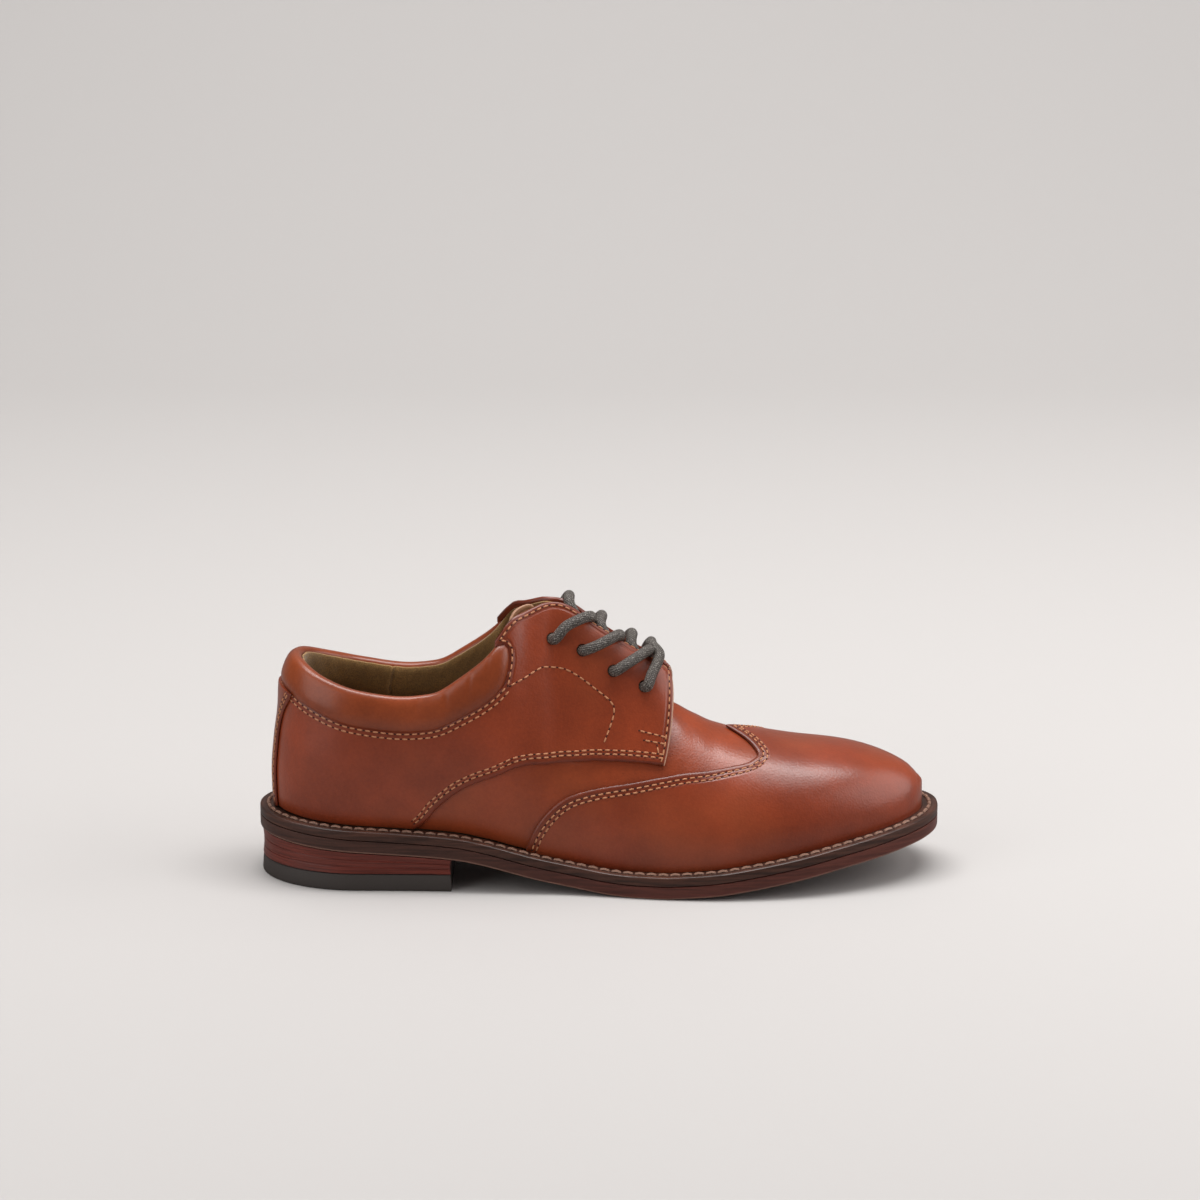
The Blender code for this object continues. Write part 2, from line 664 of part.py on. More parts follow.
def outline(offset, count=STATIONS):
    """Plan outline of the feather line moved outward by offset, lateral and medial sides."""
    tread = [(RISE["station"][-2] * shoe_length() - WELT_WIDTH) / LAST_LENGTH,
             (SPRING["station"][0] * shoe_length() - WELT_WIDTH) / LAST_LENGTH]
    stations = station_run(0.0, 1.0, count, tread)
    lines = []
    for side in (LATERAL, MEDIAL):
        centre, half = plan_half(stations, side)
        line = np.stack([WELT_WIDTH + stations * LAST_LENGTH, centre + half], axis=1)
        along = np.gradient(line, axis=0)
        out = np.stack([along[:, 1], -along[:, 0]], axis=1) * -side
        out[0] = (-1.0, 0.0)
        out[-1] = (1.0, 0.0)
        out /= np.linalg.norm(out, axis=1, keepdims=True)
        lines.append(line + out * offset)
    return lines


def ring_points(offset, lift):
    """Closed loop of outline points at a height over the outsole's underside."""
    lateral, medial = outline(offset)
    flat = np.concatenate([lateral, medial[-2:0:-1]], axis=0)
    height = sole_rise(np.clip(flat[:, 0], 0.0, shoe_length())) + lift
    return np.column_stack([flat, height])


def plate(name, offset, low, high, material):
    """Full plate of the sole's outline between two heights over the outsole's underside."""
    bottom = ring_points(offset, low)
    top = ring_points(offset, high)
    count = len(bottom)
    verts = [tuple(p) for p in np.concatenate([bottom, top])]
    faces = []
    for shift, order in ((0, 1), (count, -1)):
        faces.append(tuple(shift + k for k in (0, 1, count - 1))[::order])
        for k in range(1, count // 2 - 1):
            quad = (k, k + 1, count - k - 1, count - k)
            faces.append(tuple(shift + q for q in quad)[::order])
        last = count // 2
        faces.append(tuple(shift + k for k in (last - 1, last, last + 1))[::order])
    for k in range(count):
        n = (k + 1) % count
        faces.append((k, n, count + n, count + k))
    return new_object(name, verts, faces, material)


def build_welt(material):
    """Welt strip: a ring under the upper's edge, open under the insole."""
    low = OUTSOLE_THICKNESS + SEAM_GAP
    high = low + WELT_THICKNESS
    inset = WALL + SEAM_GAP
    loops = [
        ring_points(WELT_WIDTH, low),
        ring_points(WELT_WIDTH, high),
        ring_points(-inset, high),
        ring_points(-inset, low),
    ]
    count = len(loops[0])
    verts = [tuple(p) for p in np.concatenate(loops)]
    faces = []
    for level in range(4):
        after = (level + 1) % 4
        for k in range(count):
            n = (k + 1) % count
            faces.append((level * count + k, level * count + n, after * count + n, after * count + k))
    return new_object("welt", verts, faces, material)


def heel_loop(inset, height, follow):
    """Heel outline at one level, cut straight at the breast, flat or following the sole."""
    lateral, medial = outline(WELT_WIDTH - inset, 160)
    breast = HEEL_LENGTH - inset
    share = 0.5 - 0.5 * np.cos(np.linspace(0.0, math.pi / 2.0, 11))
    xs = lateral[0, 0] + (breast - lateral[0, 0]) * share / share[-1]
    near = np.column_stack([xs, np.interp(xs, lateral[:, 0], lateral[:, 1])])
    far = np.column_stack([xs, np.interp(xs, medial[:, 0], medial[:, 1])])
    flat = np.concatenate([near, far[:0:-1]], axis=0)
    level = sole_rise(flat[:, 0]) + height if follow else np.full(len(flat), height)
    return np.column_stack([flat, level])


def stacked(name, loops, material):
    """Solid through a pile of closed loops of the same count, with strip caps."""
    count = len(loops[0])
    verts = [tuple(p) for p in np.concatenate(loops)]
    faces = []
    for level in range(len(loops) - 1):
        for k in range(count):
            n = (k + 1) % count
            faces.append((level * count + k, level * count + n,
                          (level + 1) * count + n, (level + 1) * count + k))
    for shift, order in ((0, 1), ((len(loops) - 1) * count, -1)):
        faces.append(tuple(shift + k for k in (0, 1, count - 1))[::order])
        for k in range(1, count // 2):
            quad = (k, k + 1, count - k - 1, count - k)
            faces.append(tuple(shift + q for q in quad)[::order])
    return new_object(name, verts, faces, material)


def build_heel(stack_material, lift_material):
    """Stacked heel with slightly hollow sides, and the rubber top lift on the floor."""
    base = TOP_LIFT_THICKNESS
    hollow = HEEL_INSET + HEEL_HOLLOW
    middle = heel_loop(hollow, base, False)
    top = heel_loop(HEEL_INSET, -SEAM_GAP, True)
    middle[:, 2] = (base + SEAM_GAP + top[:, 2]) / 2.0
    bottom = heel_loop(hollow, base + SEAM_GAP, False)
    stack = stacked("heel_stack", [bottom, middle, top], stack_material)
    lift_loops = [heel_loop(HEEL_INSET, 0.0, False), heel_loop(hollow, base, False)]
    lift = stacked("top_lift", lift_loops, lift_material)
    return stack, lift


def lace_climb(index, side, advance):
    """Cord points over the facing, from a hole up to the free edge, and that edge's height."""
    clear = CORD_DIAMETER / 2.0 + CORD_GAP
    x = HOLE_FIRST + index * HOLE_PITCH
    points = []
    for share in (0.0, 0.45, 0.85):
        place, out = facing_place(x + advance * share, HOLE_MARGIN * (1.0 - share), side)
        points.append(place + out * clear)
    station = (x + advance) / LAST_LENGTH
    crown = (edge_over(station, LATERAL) + edge_over(station, MEDIAL)) / 2.0
    crown[2] += clear * CROWN_RISE
    return points, crown


def lace_arm(index, side):
    """Path of one lace arm from its hole over the facing to the slot and across it."""
    points, crown = lace_climb(index, side, LACE_ADVANCE)
    if side == MEDIAL:
        crown = crown + np.array([CORD_DIAMETER * 0.1, 0.0, CORD_DIAMETER * 0.2])
    far = crown + CORD_DIAMETER * np.array([0.25, -side * ARM_REACH, -0.1])
    return points + [crown, far]


def smooth_path(points, steps):
    """Points along a smooth curve through hand-chosen points."""
    points = [np.asarray(p, float) for p in points]
    ends = [2 * points[0] - points[1]] + points + [2 * points[-1] - points[-2]]
    path = []
    for i in range(len(points) - 1):
        a, b, c, d = ends[i:i + 4]
        for k in range(steps):
            t = k / steps
            path.append(0.5 * (2 * b + (c - a) * t + (2 * a - 5 * b + 4 * c - d) * t * t
                               + (3 * b - a - 3 * c + d) * t**3))
    path.append(points[-1])
    return path


def build_laces(material):
    """Three crossings, each one solid, and the bar between the front pair of holes."""
    radius = CORD_DIAMETER / 2.0
    for index in range(HOLE_PAIRS - 1):
        arms = []
        for side in (LATERAL, MEDIAL):
            path = smooth_path(lace_arm(index, side), 3)
            arms.append(cord("lace_cross_%d" % (index + 1), path, radius, CORD_SIDES, material))
        cross = join_solids(arms[0], [arms[1]])
        cross.name = "lace_cross_%d" % (index + 1)
    near, crown = lace_climb(HOLE_PAIRS - 1, LATERAL, BAR_ADVANCE)
    far, _ = lace_climb(HOLE_PAIRS - 1, MEDIAL, BAR_ADVANCE)
    cord("lace_bar", smooth_path(near + [crown] + far[::-1], 3), radius, CORD_SIDES, material)


def main():
    """Build every piece of the shoe."""
    clear_scene()
    leather = finish("tan_leather", (0.27, 0.072, 0.028), 0.32)
    cap_leather = finish("tan_cap_leather", (0.25, 0.066, 0.026), 0.30)
    roll_leather = finish("collar_leather", (0.29, 0.080, 0.024), 0.36)
    suede = finish("insole_suede", (0.18, 0.105, 0.035), 0.85)
    edge_brown = finish("welt_brown", (0.050, 0.026, 0.022), 0.50)
    outsole_brown = finish("outsole_brown", (0.080, 0.032, 0.027), 0.50)
    stack_brown = finish("stacked_leather", (0.115, 0.036, 0.032), 0.45)
    rubber = finish("top_lift_rubber", (0.036, 0.031, 0.028), 0.65)
    waxed = finish("waxed_cord", (0.085, 0.070, 0.060), 0.60)
    build_upper(leather)
    build_wing_cap(cap_leather)
    build_back_strip(cap_leather)
    build_collar_roll(roll_leather)
    build_tongue(leather)
    plate("outsole", WELT_WIDTH, 0.0, OUTSOLE_THICKNESS, outsole_brown)
    build_welt(edge_brown)
    insole_low = OUTSOLE_THICKNESS + SEAM_GAP
    inset = WALL + INSOLE_CLEARANCE
    plate("insole", -inset, insole_low, insole_low + INSOLE_THICKNESS, suede)
    build_heel(stack_brown, rubber)
    build_laces(waxed)


main()
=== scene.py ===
"""Tan leather shoe with a plain wing cap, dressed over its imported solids.

Every leather piece is read from one surface function of the last. Station runs from 0 at
the heel to 1 at the toe and row from 0 at the welt to 1 at the rim or the ridge. Lengths
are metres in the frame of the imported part: +X toe, +Y inner side, floor at z = 0.
"""

import logging
import math
from collections.abc import Callable
from dataclasses import dataclass, field
from enum import Enum

import bmesh
import bpy
import numpy as np
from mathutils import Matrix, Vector
from mathutils.bvhtree import BVHTree

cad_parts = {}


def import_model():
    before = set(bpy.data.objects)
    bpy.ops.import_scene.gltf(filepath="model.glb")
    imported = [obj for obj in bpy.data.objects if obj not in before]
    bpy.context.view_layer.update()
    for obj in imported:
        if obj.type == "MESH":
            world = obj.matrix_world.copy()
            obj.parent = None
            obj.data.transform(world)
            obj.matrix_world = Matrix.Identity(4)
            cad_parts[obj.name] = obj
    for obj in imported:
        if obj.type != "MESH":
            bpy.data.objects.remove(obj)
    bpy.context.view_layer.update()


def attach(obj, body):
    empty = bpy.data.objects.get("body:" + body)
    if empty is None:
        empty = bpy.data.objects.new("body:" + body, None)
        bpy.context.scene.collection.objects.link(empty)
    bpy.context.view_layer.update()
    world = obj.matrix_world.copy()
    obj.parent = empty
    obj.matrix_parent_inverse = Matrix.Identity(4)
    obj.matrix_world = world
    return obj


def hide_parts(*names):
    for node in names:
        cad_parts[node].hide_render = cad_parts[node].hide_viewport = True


LOG = logging.getLogger("shoe")
MM = 0.001
NOWHERE = 99.0
TINY = 1e-12

Colour = tuple[float, float, float]
Socket = bpy.types.NodeSocket
Value = Socket | float | tuple


class Side(Enum):
    """The two sides of the shoe, as the sign of their width."""

    LATERAL = -1.0
    MEDIAL = 1.0


LAST = {
    "length": 0.2352, "ball": 0.0694, "instep": 0.0890, "vamp": 0.0680, "heel_round": 0.0300,
    "toe_round": 0.0740, "toe_fullness": 2.3, "back_curve": 0.0070, "heel_height": 0.0168,
    "heel_length": 0.0720, "toe_spring": 0.0153, "welt_width": 0.0074,
    "welt_thickness": 0.0033, "outsole_thickness": 0.0047, "seam_gap": 0.0003,
}
PLAN = {
    "station": (0.00, 0.15, 0.30, 0.42, 0.52, 0.62, 0.70, 0.80, 0.90, 1.00),
    "centre": (0.0, 0.0, -0.019, -0.041, -0.041, -0.012, 0.010, 0.030, 0.055, 0.069),
    "half": (0.330, 0.335, 0.333, 0.338, 0.387, 0.470, 0.500, 0.495, 0.474, 0.446),
}
RISE = {
    "station": (0.0, 0.144, 0.288, 0.337, 0.373, 0.418, 0.480, 0.517, 0.552, 0.600),
    "share": (1.0, 0.860, 0.714, 0.577, 0.440, 0.274, 0.107, 0.030, 0.0, 0.0),
}
SPRING = {
    "station": (0.600, 0.664, 0.700, 0.782, 0.850, 0.904, 0.958, 1.000),
    "share": (0.0, 0.085, 0.165, 0.390, 0.600, 0.745, 0.895, 1.0),
}
RIM = {
    "station": (0.0, 0.045, 0.107, 0.180, 0.243, 0.273, 0.319, 0.344, 0.358, 0.388, 0.419,
                0.438, 0.500, 0.561, 0.595, 0.611),
    "height": (0.653, 0.605, 0.570, 0.555, 0.578, 0.625, 0.731, 0.811, 0.876, 0.965, 1.018,
               1.022, 0.941, 0.848, 0.794, 0.742),
    "half": (0.335, 0.335, 0.335, 0.335, 0.330, 0.316, 0.281, 0.238, 0.200, 0.108, 0.042,
             0.0, 0.0, 0.0, 0.0, 0.0),
}
RIDGE = {
    "station": (0.438, 0.512, 0.561, 0.617, 0.640, 0.663, 0.699, 0.752, 0.805, 0.860, 0.902,
                0.944, 0.980, 0.994, 1.0),
    "height": (1.170, 1.010, 0.910, 0.790, 0.735, 0.681, 0.617, 0.541, 0.474, 0.413, 0.361,
               0.292, 0.209, 0.157, 0.100),
}
SECTION = {
    "station": (0.0, 0.19, 0.34, 0.44, 0.56, 0.66, 0.80, 0.92, 1.0),
    "bulge": (0.070, 0.070, 0.085, 0.090, 0.055, 0.035, 0.030, 0.020, 0.0),
    "low": (0.30, 0.30, 0.33, 0.36, 0.40, 0.46, 0.56, 0.62, 0.50),
    "shoulder": (0.13, 0.14, 0.28, 0.40, 0.46, 0.56, 0.62, 0.64, 0.60),
    "high": (0.72, 0.72, 0.76, 0.84, 0.91, 0.99, 1.01, 1.01, 1.00),
}
BACK = {
    "height": (0.0, 0.10, 0.22, 0.43, 0.65, 0.80, 0.90, 1.00),
    "push": (0.0, -0.06, -0.07, 0.07, 0.31, 0.38, 0.65, 1.00),
}
QUARTER_EDGE = {
    "station": (0.0, 0.215, 0.236, 0.248, 0.270, 0.293, 0.323, 0.362, 0.403, 0.450, 0.500,
                0.560, 0.610),
    "row": (0.012, 0.012, 0.092, 0.170, 0.250, 0.302, 0.330, 0.338, 0.358, 0.393, 0.445,
            0.487, 0.508),
}
COLLAR_SEAM = {
    "station": (0.0, 0.053, 0.119, 0.256, 0.362),
    "row": (0.800, 0.770, 0.740, 0.730, 0.730),
}
WING_EDGE = {
    "row": (0.015, 0.08, 0.16, 0.24, 0.33, 0.42, 0.50, 0.58, 0.66, 0.73, 0.80, 0.88, 1.0),
    "station": (0.388, 0.397, 0.414, 0.442, 0.496, 0.570, 0.632, 0.686, 0.732, 0.744, 0.738,
                0.725, 0.696),
}
TONGUE = {
    "station": (0.389, 0.415, 0.470, 0.500, 0.530, 0.580),
    "half": (0.72, 0.95, 0.90, 0.72, 0.66, 0.60),
    "sunk": (0.0, 0.0, 0.10, 0.65, 1.0, 1.0),
}
NOSE_CURVE = {
    "share": (0.0, 0.2, 0.4, 0.6, 0.8, 1.0),
    "shift": (-0.0148, -0.0102, -0.0082, -0.0105, -0.0170, -0.0280),
}
NOSE = 0.0865 / LAST["length"]
FRONT = 0.1442 / LAST["length"]
# Points at the heel's end of the quarter's lower line, which the welt covers.
HIDDEN = 180
# Lace holes: pairs, then first place, pitch, margin from the free edge and radius in metres.
HOLES = {"pairs": 4, "first": 0.1000, "pitch": 0.0112, "margin": 0.0138, "radius": 0.00225}
# Walking creases: station, lean with the row, depth in millimetres, width in stations.
CREASES = ((0.604, 0.020, 0.10, 0.008), (0.636, 0.030, 0.12, 0.009), (0.668, 0.030, 0.08, 0.009))
# Wrinkles of the roll: station, share of the thickness, width in stations.
ROLL_WRINKLES = ((0.262, 0.10, 0.0024), (0.268, 0.06, 0.0016), (0.300, 0.08, 0.0026),
                 (0.215, 0.05, 0.003), (0.326, 0.07, 0.0022))
# Spots that the quarter's own seams run through: station and row.
DECOR_SEAM = ((0.362, 0.695), (0.382, 0.690), (0.411, 0.713), (0.424, 0.710), (0.454, 0.710),
              (0.484, 0.700), (0.516, 0.680), (0.522, 0.650), (0.517, 0.600), (0.506, 0.520))
TACKS = (((0.5605, 0.615), (0.582, 0.618), (0.602, 0.624)),
         ((0.5680, 0.585), (0.586, 0.590), (0.602, 0.597)),
         ((0.5880, 0.580), (0.590, 0.560), (0.591, 0.545)))
# Lamps: name, place, target, size and power.
LAMPS = (("left", (-0.75, -0.55, 0.50), (0.03, 0.0, 0.05), (0.8, 1.0), 3.6),
         ("right", (1.15, -0.10, 0.62), (0.17, 0.0, 0.05), (1.3, 0.9), 7.6),
         ("top", (0.16, 0.06, 1.15), (0.12, 0.0, 0.0), (1.2, 0.6), 8.0),
         ("wall", (0.1, 0.2, 2.4), (0.1, 1.6, 0.7), (2.6, 0.6), 46.0))


def ease(value: np.ndarray | float) -> np.ndarray:
    """Smooth step from 0 to 1."""
    t = np.clip(value, 0.0, 1.0)
    return t * t * (3.0 - 2.0 * t)


def at_least(value: np.ndarray, soft: float) -> np.ndarray:
    """Value held above nought by a rounded corner.

    It is half the sum of the value and its hypotenuse with the soft length.
    """
    return (value + np.sqrt(value**2 + soft**2)) / 2.0


def read(table: dict, column: str, at: np.ndarray | float, key: str = "station",
         soften: float = 0.0) -> np.ndarray:
    """Smooth reading of a table: a cubic between rows whose slopes never overshoot.

    Args:
        table: columns of numbers under their names.
        column: the column to read.
        at: where to read it, in the key column's units.
        key: the column that the readings run along.
        soften: half width of the run over which five readings are averaged.

    Returns:
        The readings, in the shape of `at`.
    """
    at = np.asarray(at, float)
    if soften > 0.0:
        shifts = np.array([-1.0, -0.5, 0.0, 0.5, 1.0]) * soften
        weights = np.array([0.12, 0.24, 0.28, 0.24, 0.12])
        several = read(table, column, at[..., None] + shifts, key)
        return several @ weights
    xs = np.array(table[key], float)
    ys = np.array(table[column], float)
    at = np.clip(at, xs[0], xs[-1])
    steps = np.diff(xs)
    slopes = np.diff(ys) / steps
    same_way = slopes[:-1] * slopes[1:] > 0.0
    total = slopes[:-1] + slopes[1:]
    mean = 2.0 * slopes[:-1] * slopes[1:] / np.where(same_way, total, 1.0)
    tangents = np.concatenate([slopes[:1], np.where(same_way, mean, 0.0), slopes[-1:]])
    cell = np.clip(np.searchsorted(xs, at, side="right") - 1, 0, len(steps) - 1)
    span = steps[cell]
    t = (at - xs[cell]) / span
    start = ys[cell] * (1 + 2 * t) * (1 - t) ** 2 + tangents[cell] * span * t * (1 - t) ** 2
    end = ys[cell + 1] * t * t * (3 - 2 * t) + tangents[cell + 1] * span * t * t * (t - 1)
    return start + end


def unit(vectors: np.ndarray) -> np.ndarray:
    """Vectors brought to a length of one."""
    return vectors / np.maximum(np.linalg.norm(vectors, axis=-1, keepdims=True), TINY)


def swelling(count: int) -> np.ndarray:
    """Numbers from 0 to 1 that lie closer together at both ends."""
    return 0.5 - 0.5 * np.cos(np.linspace(0.0, math.pi, count))


def sides(signed: np.ndarray) -> np.ndarray:
    """The side of the shoe that each signed number stands for."""
    return np.where(signed < 0.0, Side.LATERAL.value, Side.MEDIAL.value)


def round_heel(half: np.ndarray) -> tuple[np.ndarray, np.ndarray, np.ndarray]:
    """Run from one side round the heel to the other.

    Args:
        half: stations of one side, from the heel forward.

    Returns:
        Signed stations, then the station and the side of each as a column.
    """
    signed = np.concatenate([-half[:0:-1], half])
    return signed, np.abs(signed)[:, None], sides(signed)[:, None]


def linked(name: str, data: bpy.types.ID) -> bpy.types.Object:
    """New object with that data, put into the scene."""
    item = bpy.data.objects.new(name, data)
    bpy.context.scene.collection.objects.link(item)
    return item


@dataclass(frozen=True)
class Last:
    """The surface that the whole shoe is laid out on.

    Attributes:
        soften: how far table readings are averaged, so that gloss runs without kinks.
        quarter_step: height of the quarters over the lasted wall.
        slot: width of the gap between the two facings.
        front_sweep: how far the facing's front edge leans back at its lower corner.
    """

    soften: float = 0.013
    quarter_step: float = 1.3 * MM
    slot: float = 4.6 * MM
    front_sweep: float = 3.1 * MM

    def closing(self, station: np.ndarray) -> np.ndarray:
        """Share of the full width left at a station: a round heel and a fuller toe."""
        length, fullness = LAST["length"], LAST["toe_fullness"]
        heel = np.clip(1.0 - station * length / LAST["heel_round"], 0.0, 1.0)
        toe = np.clip(1.0 - (1.0 - station) * length / LAST["toe_round"], 0.0, 1.0)
        round_toe = np.clip(1.0 - toe**fullness, 0.0, 1.0) ** (1.0 / fullness)
        return np.sqrt(np.clip(1.0 - heel**2, 0.0, 1.0)) * round_toe

    def sole_length(self) -> float:
        """Length of the sole from the welt's back to its front."""
        return LAST["length"] + 2.0 * LAST["welt_width"]

    def sole_rise(self, x: np.ndarray) -> np.ndarray:
        """Height of the outsole's underside at x, counted from the sole's back."""
        share = np.clip(np.asarray(x, float) / self.sole_length(), 0.0, 1.0)
        back = LAST["heel_height"] * read(RISE, "share", share)
        return back + LAST["toe_spring"] * read(SPRING, "share", share)

    def feather(self, x: np.ndarray) -> np.ndarray:
        """Height of the line where the upper stands on the welt."""
        layers = LAST["outsole_thickness"] + LAST["welt_thickness"] + 2.0 * LAST["seam_gap"]
        return self.sole_rise(x) + layers

    def top(self, station: np.ndarray) -> np.ndarray:
        """Height of a section's top over the feather line: rim behind, ridge in front."""
        rim = LAST["instep"] * read(RIM, "height", station, soften=self.soften)
        ridge = LAST["vamp"] * read(RIDGE, "height", station, soften=self.soften)
        start = RIM["station"][7]
        blend = ease((station - start) / (RIDGE["station"][0] - start))
        return rim * (1.0 - blend) + ridge * blend

    def point(self, station: np.ndarray, row: np.ndarray, side: np.ndarray) -> np.ndarray:
        """Points of the lasted wall.

        A section is one cubic arc: it leaves the feather line outward by the bulge, and
        comes to the rim or ridge from the shoulder. Height shares push the heel's back.

        Args:
            station: places along the last.
            row: places up the section.
            side: -1 for the outer and 1 for the inner side of the shoe.

        Returns:
            An array of points with one more axis than the input.
        """
        station, row, side = np.broadcast_arrays(
            np.asarray(station, float), np.asarray(row, float), np.asarray(side, float))
        ball = LAST["ball"]
        x = LAST["welt_width"] + station * LAST["length"]
        wide = self.closing(station) * side * ball
        soft = self.soften
        foot = read(PLAN, "half", station, soften=soft) * wide
        rim = read(RIM, "half", station, soften=soft) * wide
        bulge = read(SECTION, "bulge", station, soften=soft) * wide
        shoulder = read(SECTION, "shoulder", station, soften=soft) * foot
        height = self.top(station)
        low = read(SECTION, "low", station, soften=soft) * height
        high = read(SECTION, "high", station, soften=soft) * height
        a, b, c, d = (1 - row) ** 3, 3 * row * (1 - row) ** 2, 3 * row**2 * (1 - row), row**3
        offset = a * foot + b * (foot + bulge) + c * (rim + shoulder) + d * rim
        z = b * low + c * high + d * height
        push = LAST["back_curve"] * read(BACK, "push", z / height, key="height", soften=0.03)
        x = x + push * (1.0 - ease(station * LAST["length"] / LAST["heel_length"]))
        centre = ball * read(PLAN, "centre", station, soften=soft)
        return np.stack([x - LAST["heel_length"] / 2, centre + offset, self.feather(x) + z], -1)

    def reader(self, surface: str) -> Callable[..., np.ndarray]:
        """What gives the points of the "wall" or of the "quarter"."""
        return self.point if surface == "wall" else self.quarter

    def normal(self, station: np.ndarray, row: np.ndarray, side: np.ndarray,
               surface: str = "wall") -> np.ndarray:
        """Unit outward normals of a surface, from small steps along and up it."""
        reader = self.reader(surface)
        step = 0.002
        toe = np.minimum(np.asarray(station, float) + step, 1.0)
        heel = np.maximum(toe - 2 * step, 0.0)
        up = np.minimum(np.asarray(row, float) + step, 1.0)
        along = reader(toe, row, side) - reader(heel, row, side)
        rise = reader(station, up, side) - reader(station, up - 2 * step, side)
        sign = np.asarray(side, float)[..., None]
        cross = np.cross(along, rise) * -sign
        heel_line = np.broadcast_to(np.asarray(station), cross.shape[:-1]) < 0.01
        fade = np.where(heel_line, np.broadcast_to(station, cross.shape[:-1]) / 0.01, 1.0)
        cross[..., 1] *= fade
        return unit(cross)

    def quarter(self, station: np.ndarray, row: np.ndarray, side: np.ndarray) -> np.ndarray:
        """Outer face of the quarters: the wall plus a step, lifted to the lacing edge."""
        station, row, side = np.broadcast_arrays(
            np.asarray(station, float), np.asarray(row, float), np.asarray(side, float))
        face = self.point(station, row, side)
        face = face + self.normal(station, row, side) * self.quarter_step
        rim = LAST["instep"] * read(RIM, "height", station, soften=self.soften)
        spread = ease((row - 0.45) / 0.55)
        face[..., 2] += at_least(rim - self.top(station) - self.quarter_step, 0.8 * MM) * spread
        half = LAST["ball"] * read(RIM, "half", station, soften=self.soften)
        face[..., 1] += side * at_least(self.slot / 2.0 - half, 1.6 * MM) * spread
        return face

    def outline(self, offset: float, count: int) -> np.ndarray:
        """Closed plan outline of the feather line moved outward, twice `count` less two."""
        share = swelling(count)
        centre = LAST["ball"] * read(PLAN, "centre", share, soften=self.soften)
        half = read(PLAN, "half", share, soften=self.soften) * self.closing(share)
        x = LAST["welt_width"] + share * LAST["length"]
        loops = []
        for side in Side:
            line = np.stack([x, centre + LAST["ball"] * half * side.value], 1)
            along = np.gradient(line, axis=0)
            out = np.stack([along[:, 1], -along[:, 0]], 1) * -side.value
            out[0], out[-1] = (-1.0, 0.0), (1.0, 0.0)
            loops.append(line + unit(out) * offset)
        return np.concatenate([loops[0], loops[1][-2:0:-1]])

    def sole_loop(self, offset: float, lift: float, count: int) -> np.ndarray:
        """Outline at a height over the outsole's underside, in the frame."""
        flat = self.outline(offset, count)
        z = self.sole_rise(flat[:, 0]) + lift
        return np.column_stack([flat[:, 0] - LAST["heel_length"] / 2, flat[:, 1], z])


def cells(index: np.ndarray) -> np.ndarray:
    """Corner numbers of every cell in a grid of point numbers."""
    return np.stack([index[:-1, :-1], index[1:, :-1], index[1:, 1:], index[:-1, 1:]], -1)


def belt(levels: int, count: int) -> tuple[np.ndarray, list]:
    """Point numbers of a pile of rings, and the faces from each ring to the next."""
    index = np.arange(levels * count).reshape(levels, count)
    after = np.roll(index, -1, axis=1)
    faces = np.stack([index[:-1], after[:-1], after[1:], index[1:]], -1).reshape(-1, 4).tolist()
    return index, faces


def shell(outer: np.ndarray, inner: np.ndarray, keep: np.ndarray | None = None,
          joined: tuple[str, ...] = ()) -> tuple[np.ndarray, np.ndarray]:
    """Closed solid between two grids of points of the same shape.

    Cells that are kept get a face outside and inside. An edge that belongs to one kept cell
    alone gets a wall, except on the borders named in `joined`, which another border meets.

    Args:
        outer: rows by columns by 3.
        inner: the same shape.
        keep: which cells are there, or None for all of them.
        joined: any of "first_row", "last_row", "first_column", "last_column".

    Returns:
        Vertices and four-cornered faces.
    """
    rows, columns = outer.shape[:2]
    keep = np.ones((rows - 1, columns - 1), bool) if keep is None else keep
    index = np.arange(rows * columns).reshape(rows, columns)
    shift = rows * columns
    quads = cells(index)[keep]
    faces = [quads, quads[:, ::-1] + shift]
    padded = np.pad(keep, 1)
    down = padded[1:-1, 1:] != padded[1:-1, :-1]
    across = padded[1:, 1:-1] != padded[:-1, 1:-1]
    down[:, 0] &= "first_column" not in joined
    down[:, -1] &= "last_column" not in joined
    across[0] &= "first_row" not in joined
    across[-1] &= "last_row" not in joined
    for start, end, wall in ((index[:-1], index[1:], down), (index[:, :-1], index[:, 1:], across)):
        a, b = start[wall], end[wall]
        faces.append(np.stack([a, b, b + shift, a + shift], 1))
    verts = np.concatenate([outer.reshape(-1, 3), inner.reshape(-1, 3)])
    return verts, np.concatenate(faces)


def tube(loops: np.ndarray, capped: bool = True) -> tuple[np.ndarray, list]:
    """Surface through a pile of closed loops, with a fan on each end where it is capped."""
    index, faces = belt(*loops.shape[:2])
    if not capped:
        last, first = index[-1], index[0]
        wrap = np.stack([last, np.roll(last, -1), np.roll(first, -1), first], -1).tolist()
        return loops.reshape(-1, 3), faces + wrap
    half = loops.shape[1] // 2
    for ring in (index[0], index[-1][::-1]):
        faces.append([int(v) for v in (ring[0], ring[1], ring[-1])])
        pairs = np.arange(1, half)
        strip = np.stack([ring[pairs], ring[pairs + 1], ring[-pairs - 1], ring[-pairs]], 1)
        faces += [list(dict.fromkeys(map(int, quad))) for quad in strip]
    return loops.reshape(-1, 3), [f for f in faces if len(f) > 2]


def distances(points: np.ndarray, line: np.ndarray) -> np.ndarray:
    """Least distance of each point from a dense line of points, in metres."""
    flat = points.reshape(-1, 3)
    best = np.full(len(flat), np.inf)
    for part in np.array_split(line, max(1, len(line) // 60)):
        gap = ((flat[:, None, :] - part[None]) ** 2).sum(-1).min(1)
        best = np.minimum(best, gap)
    return np.sqrt(best).reshape(points.shape[:-1])


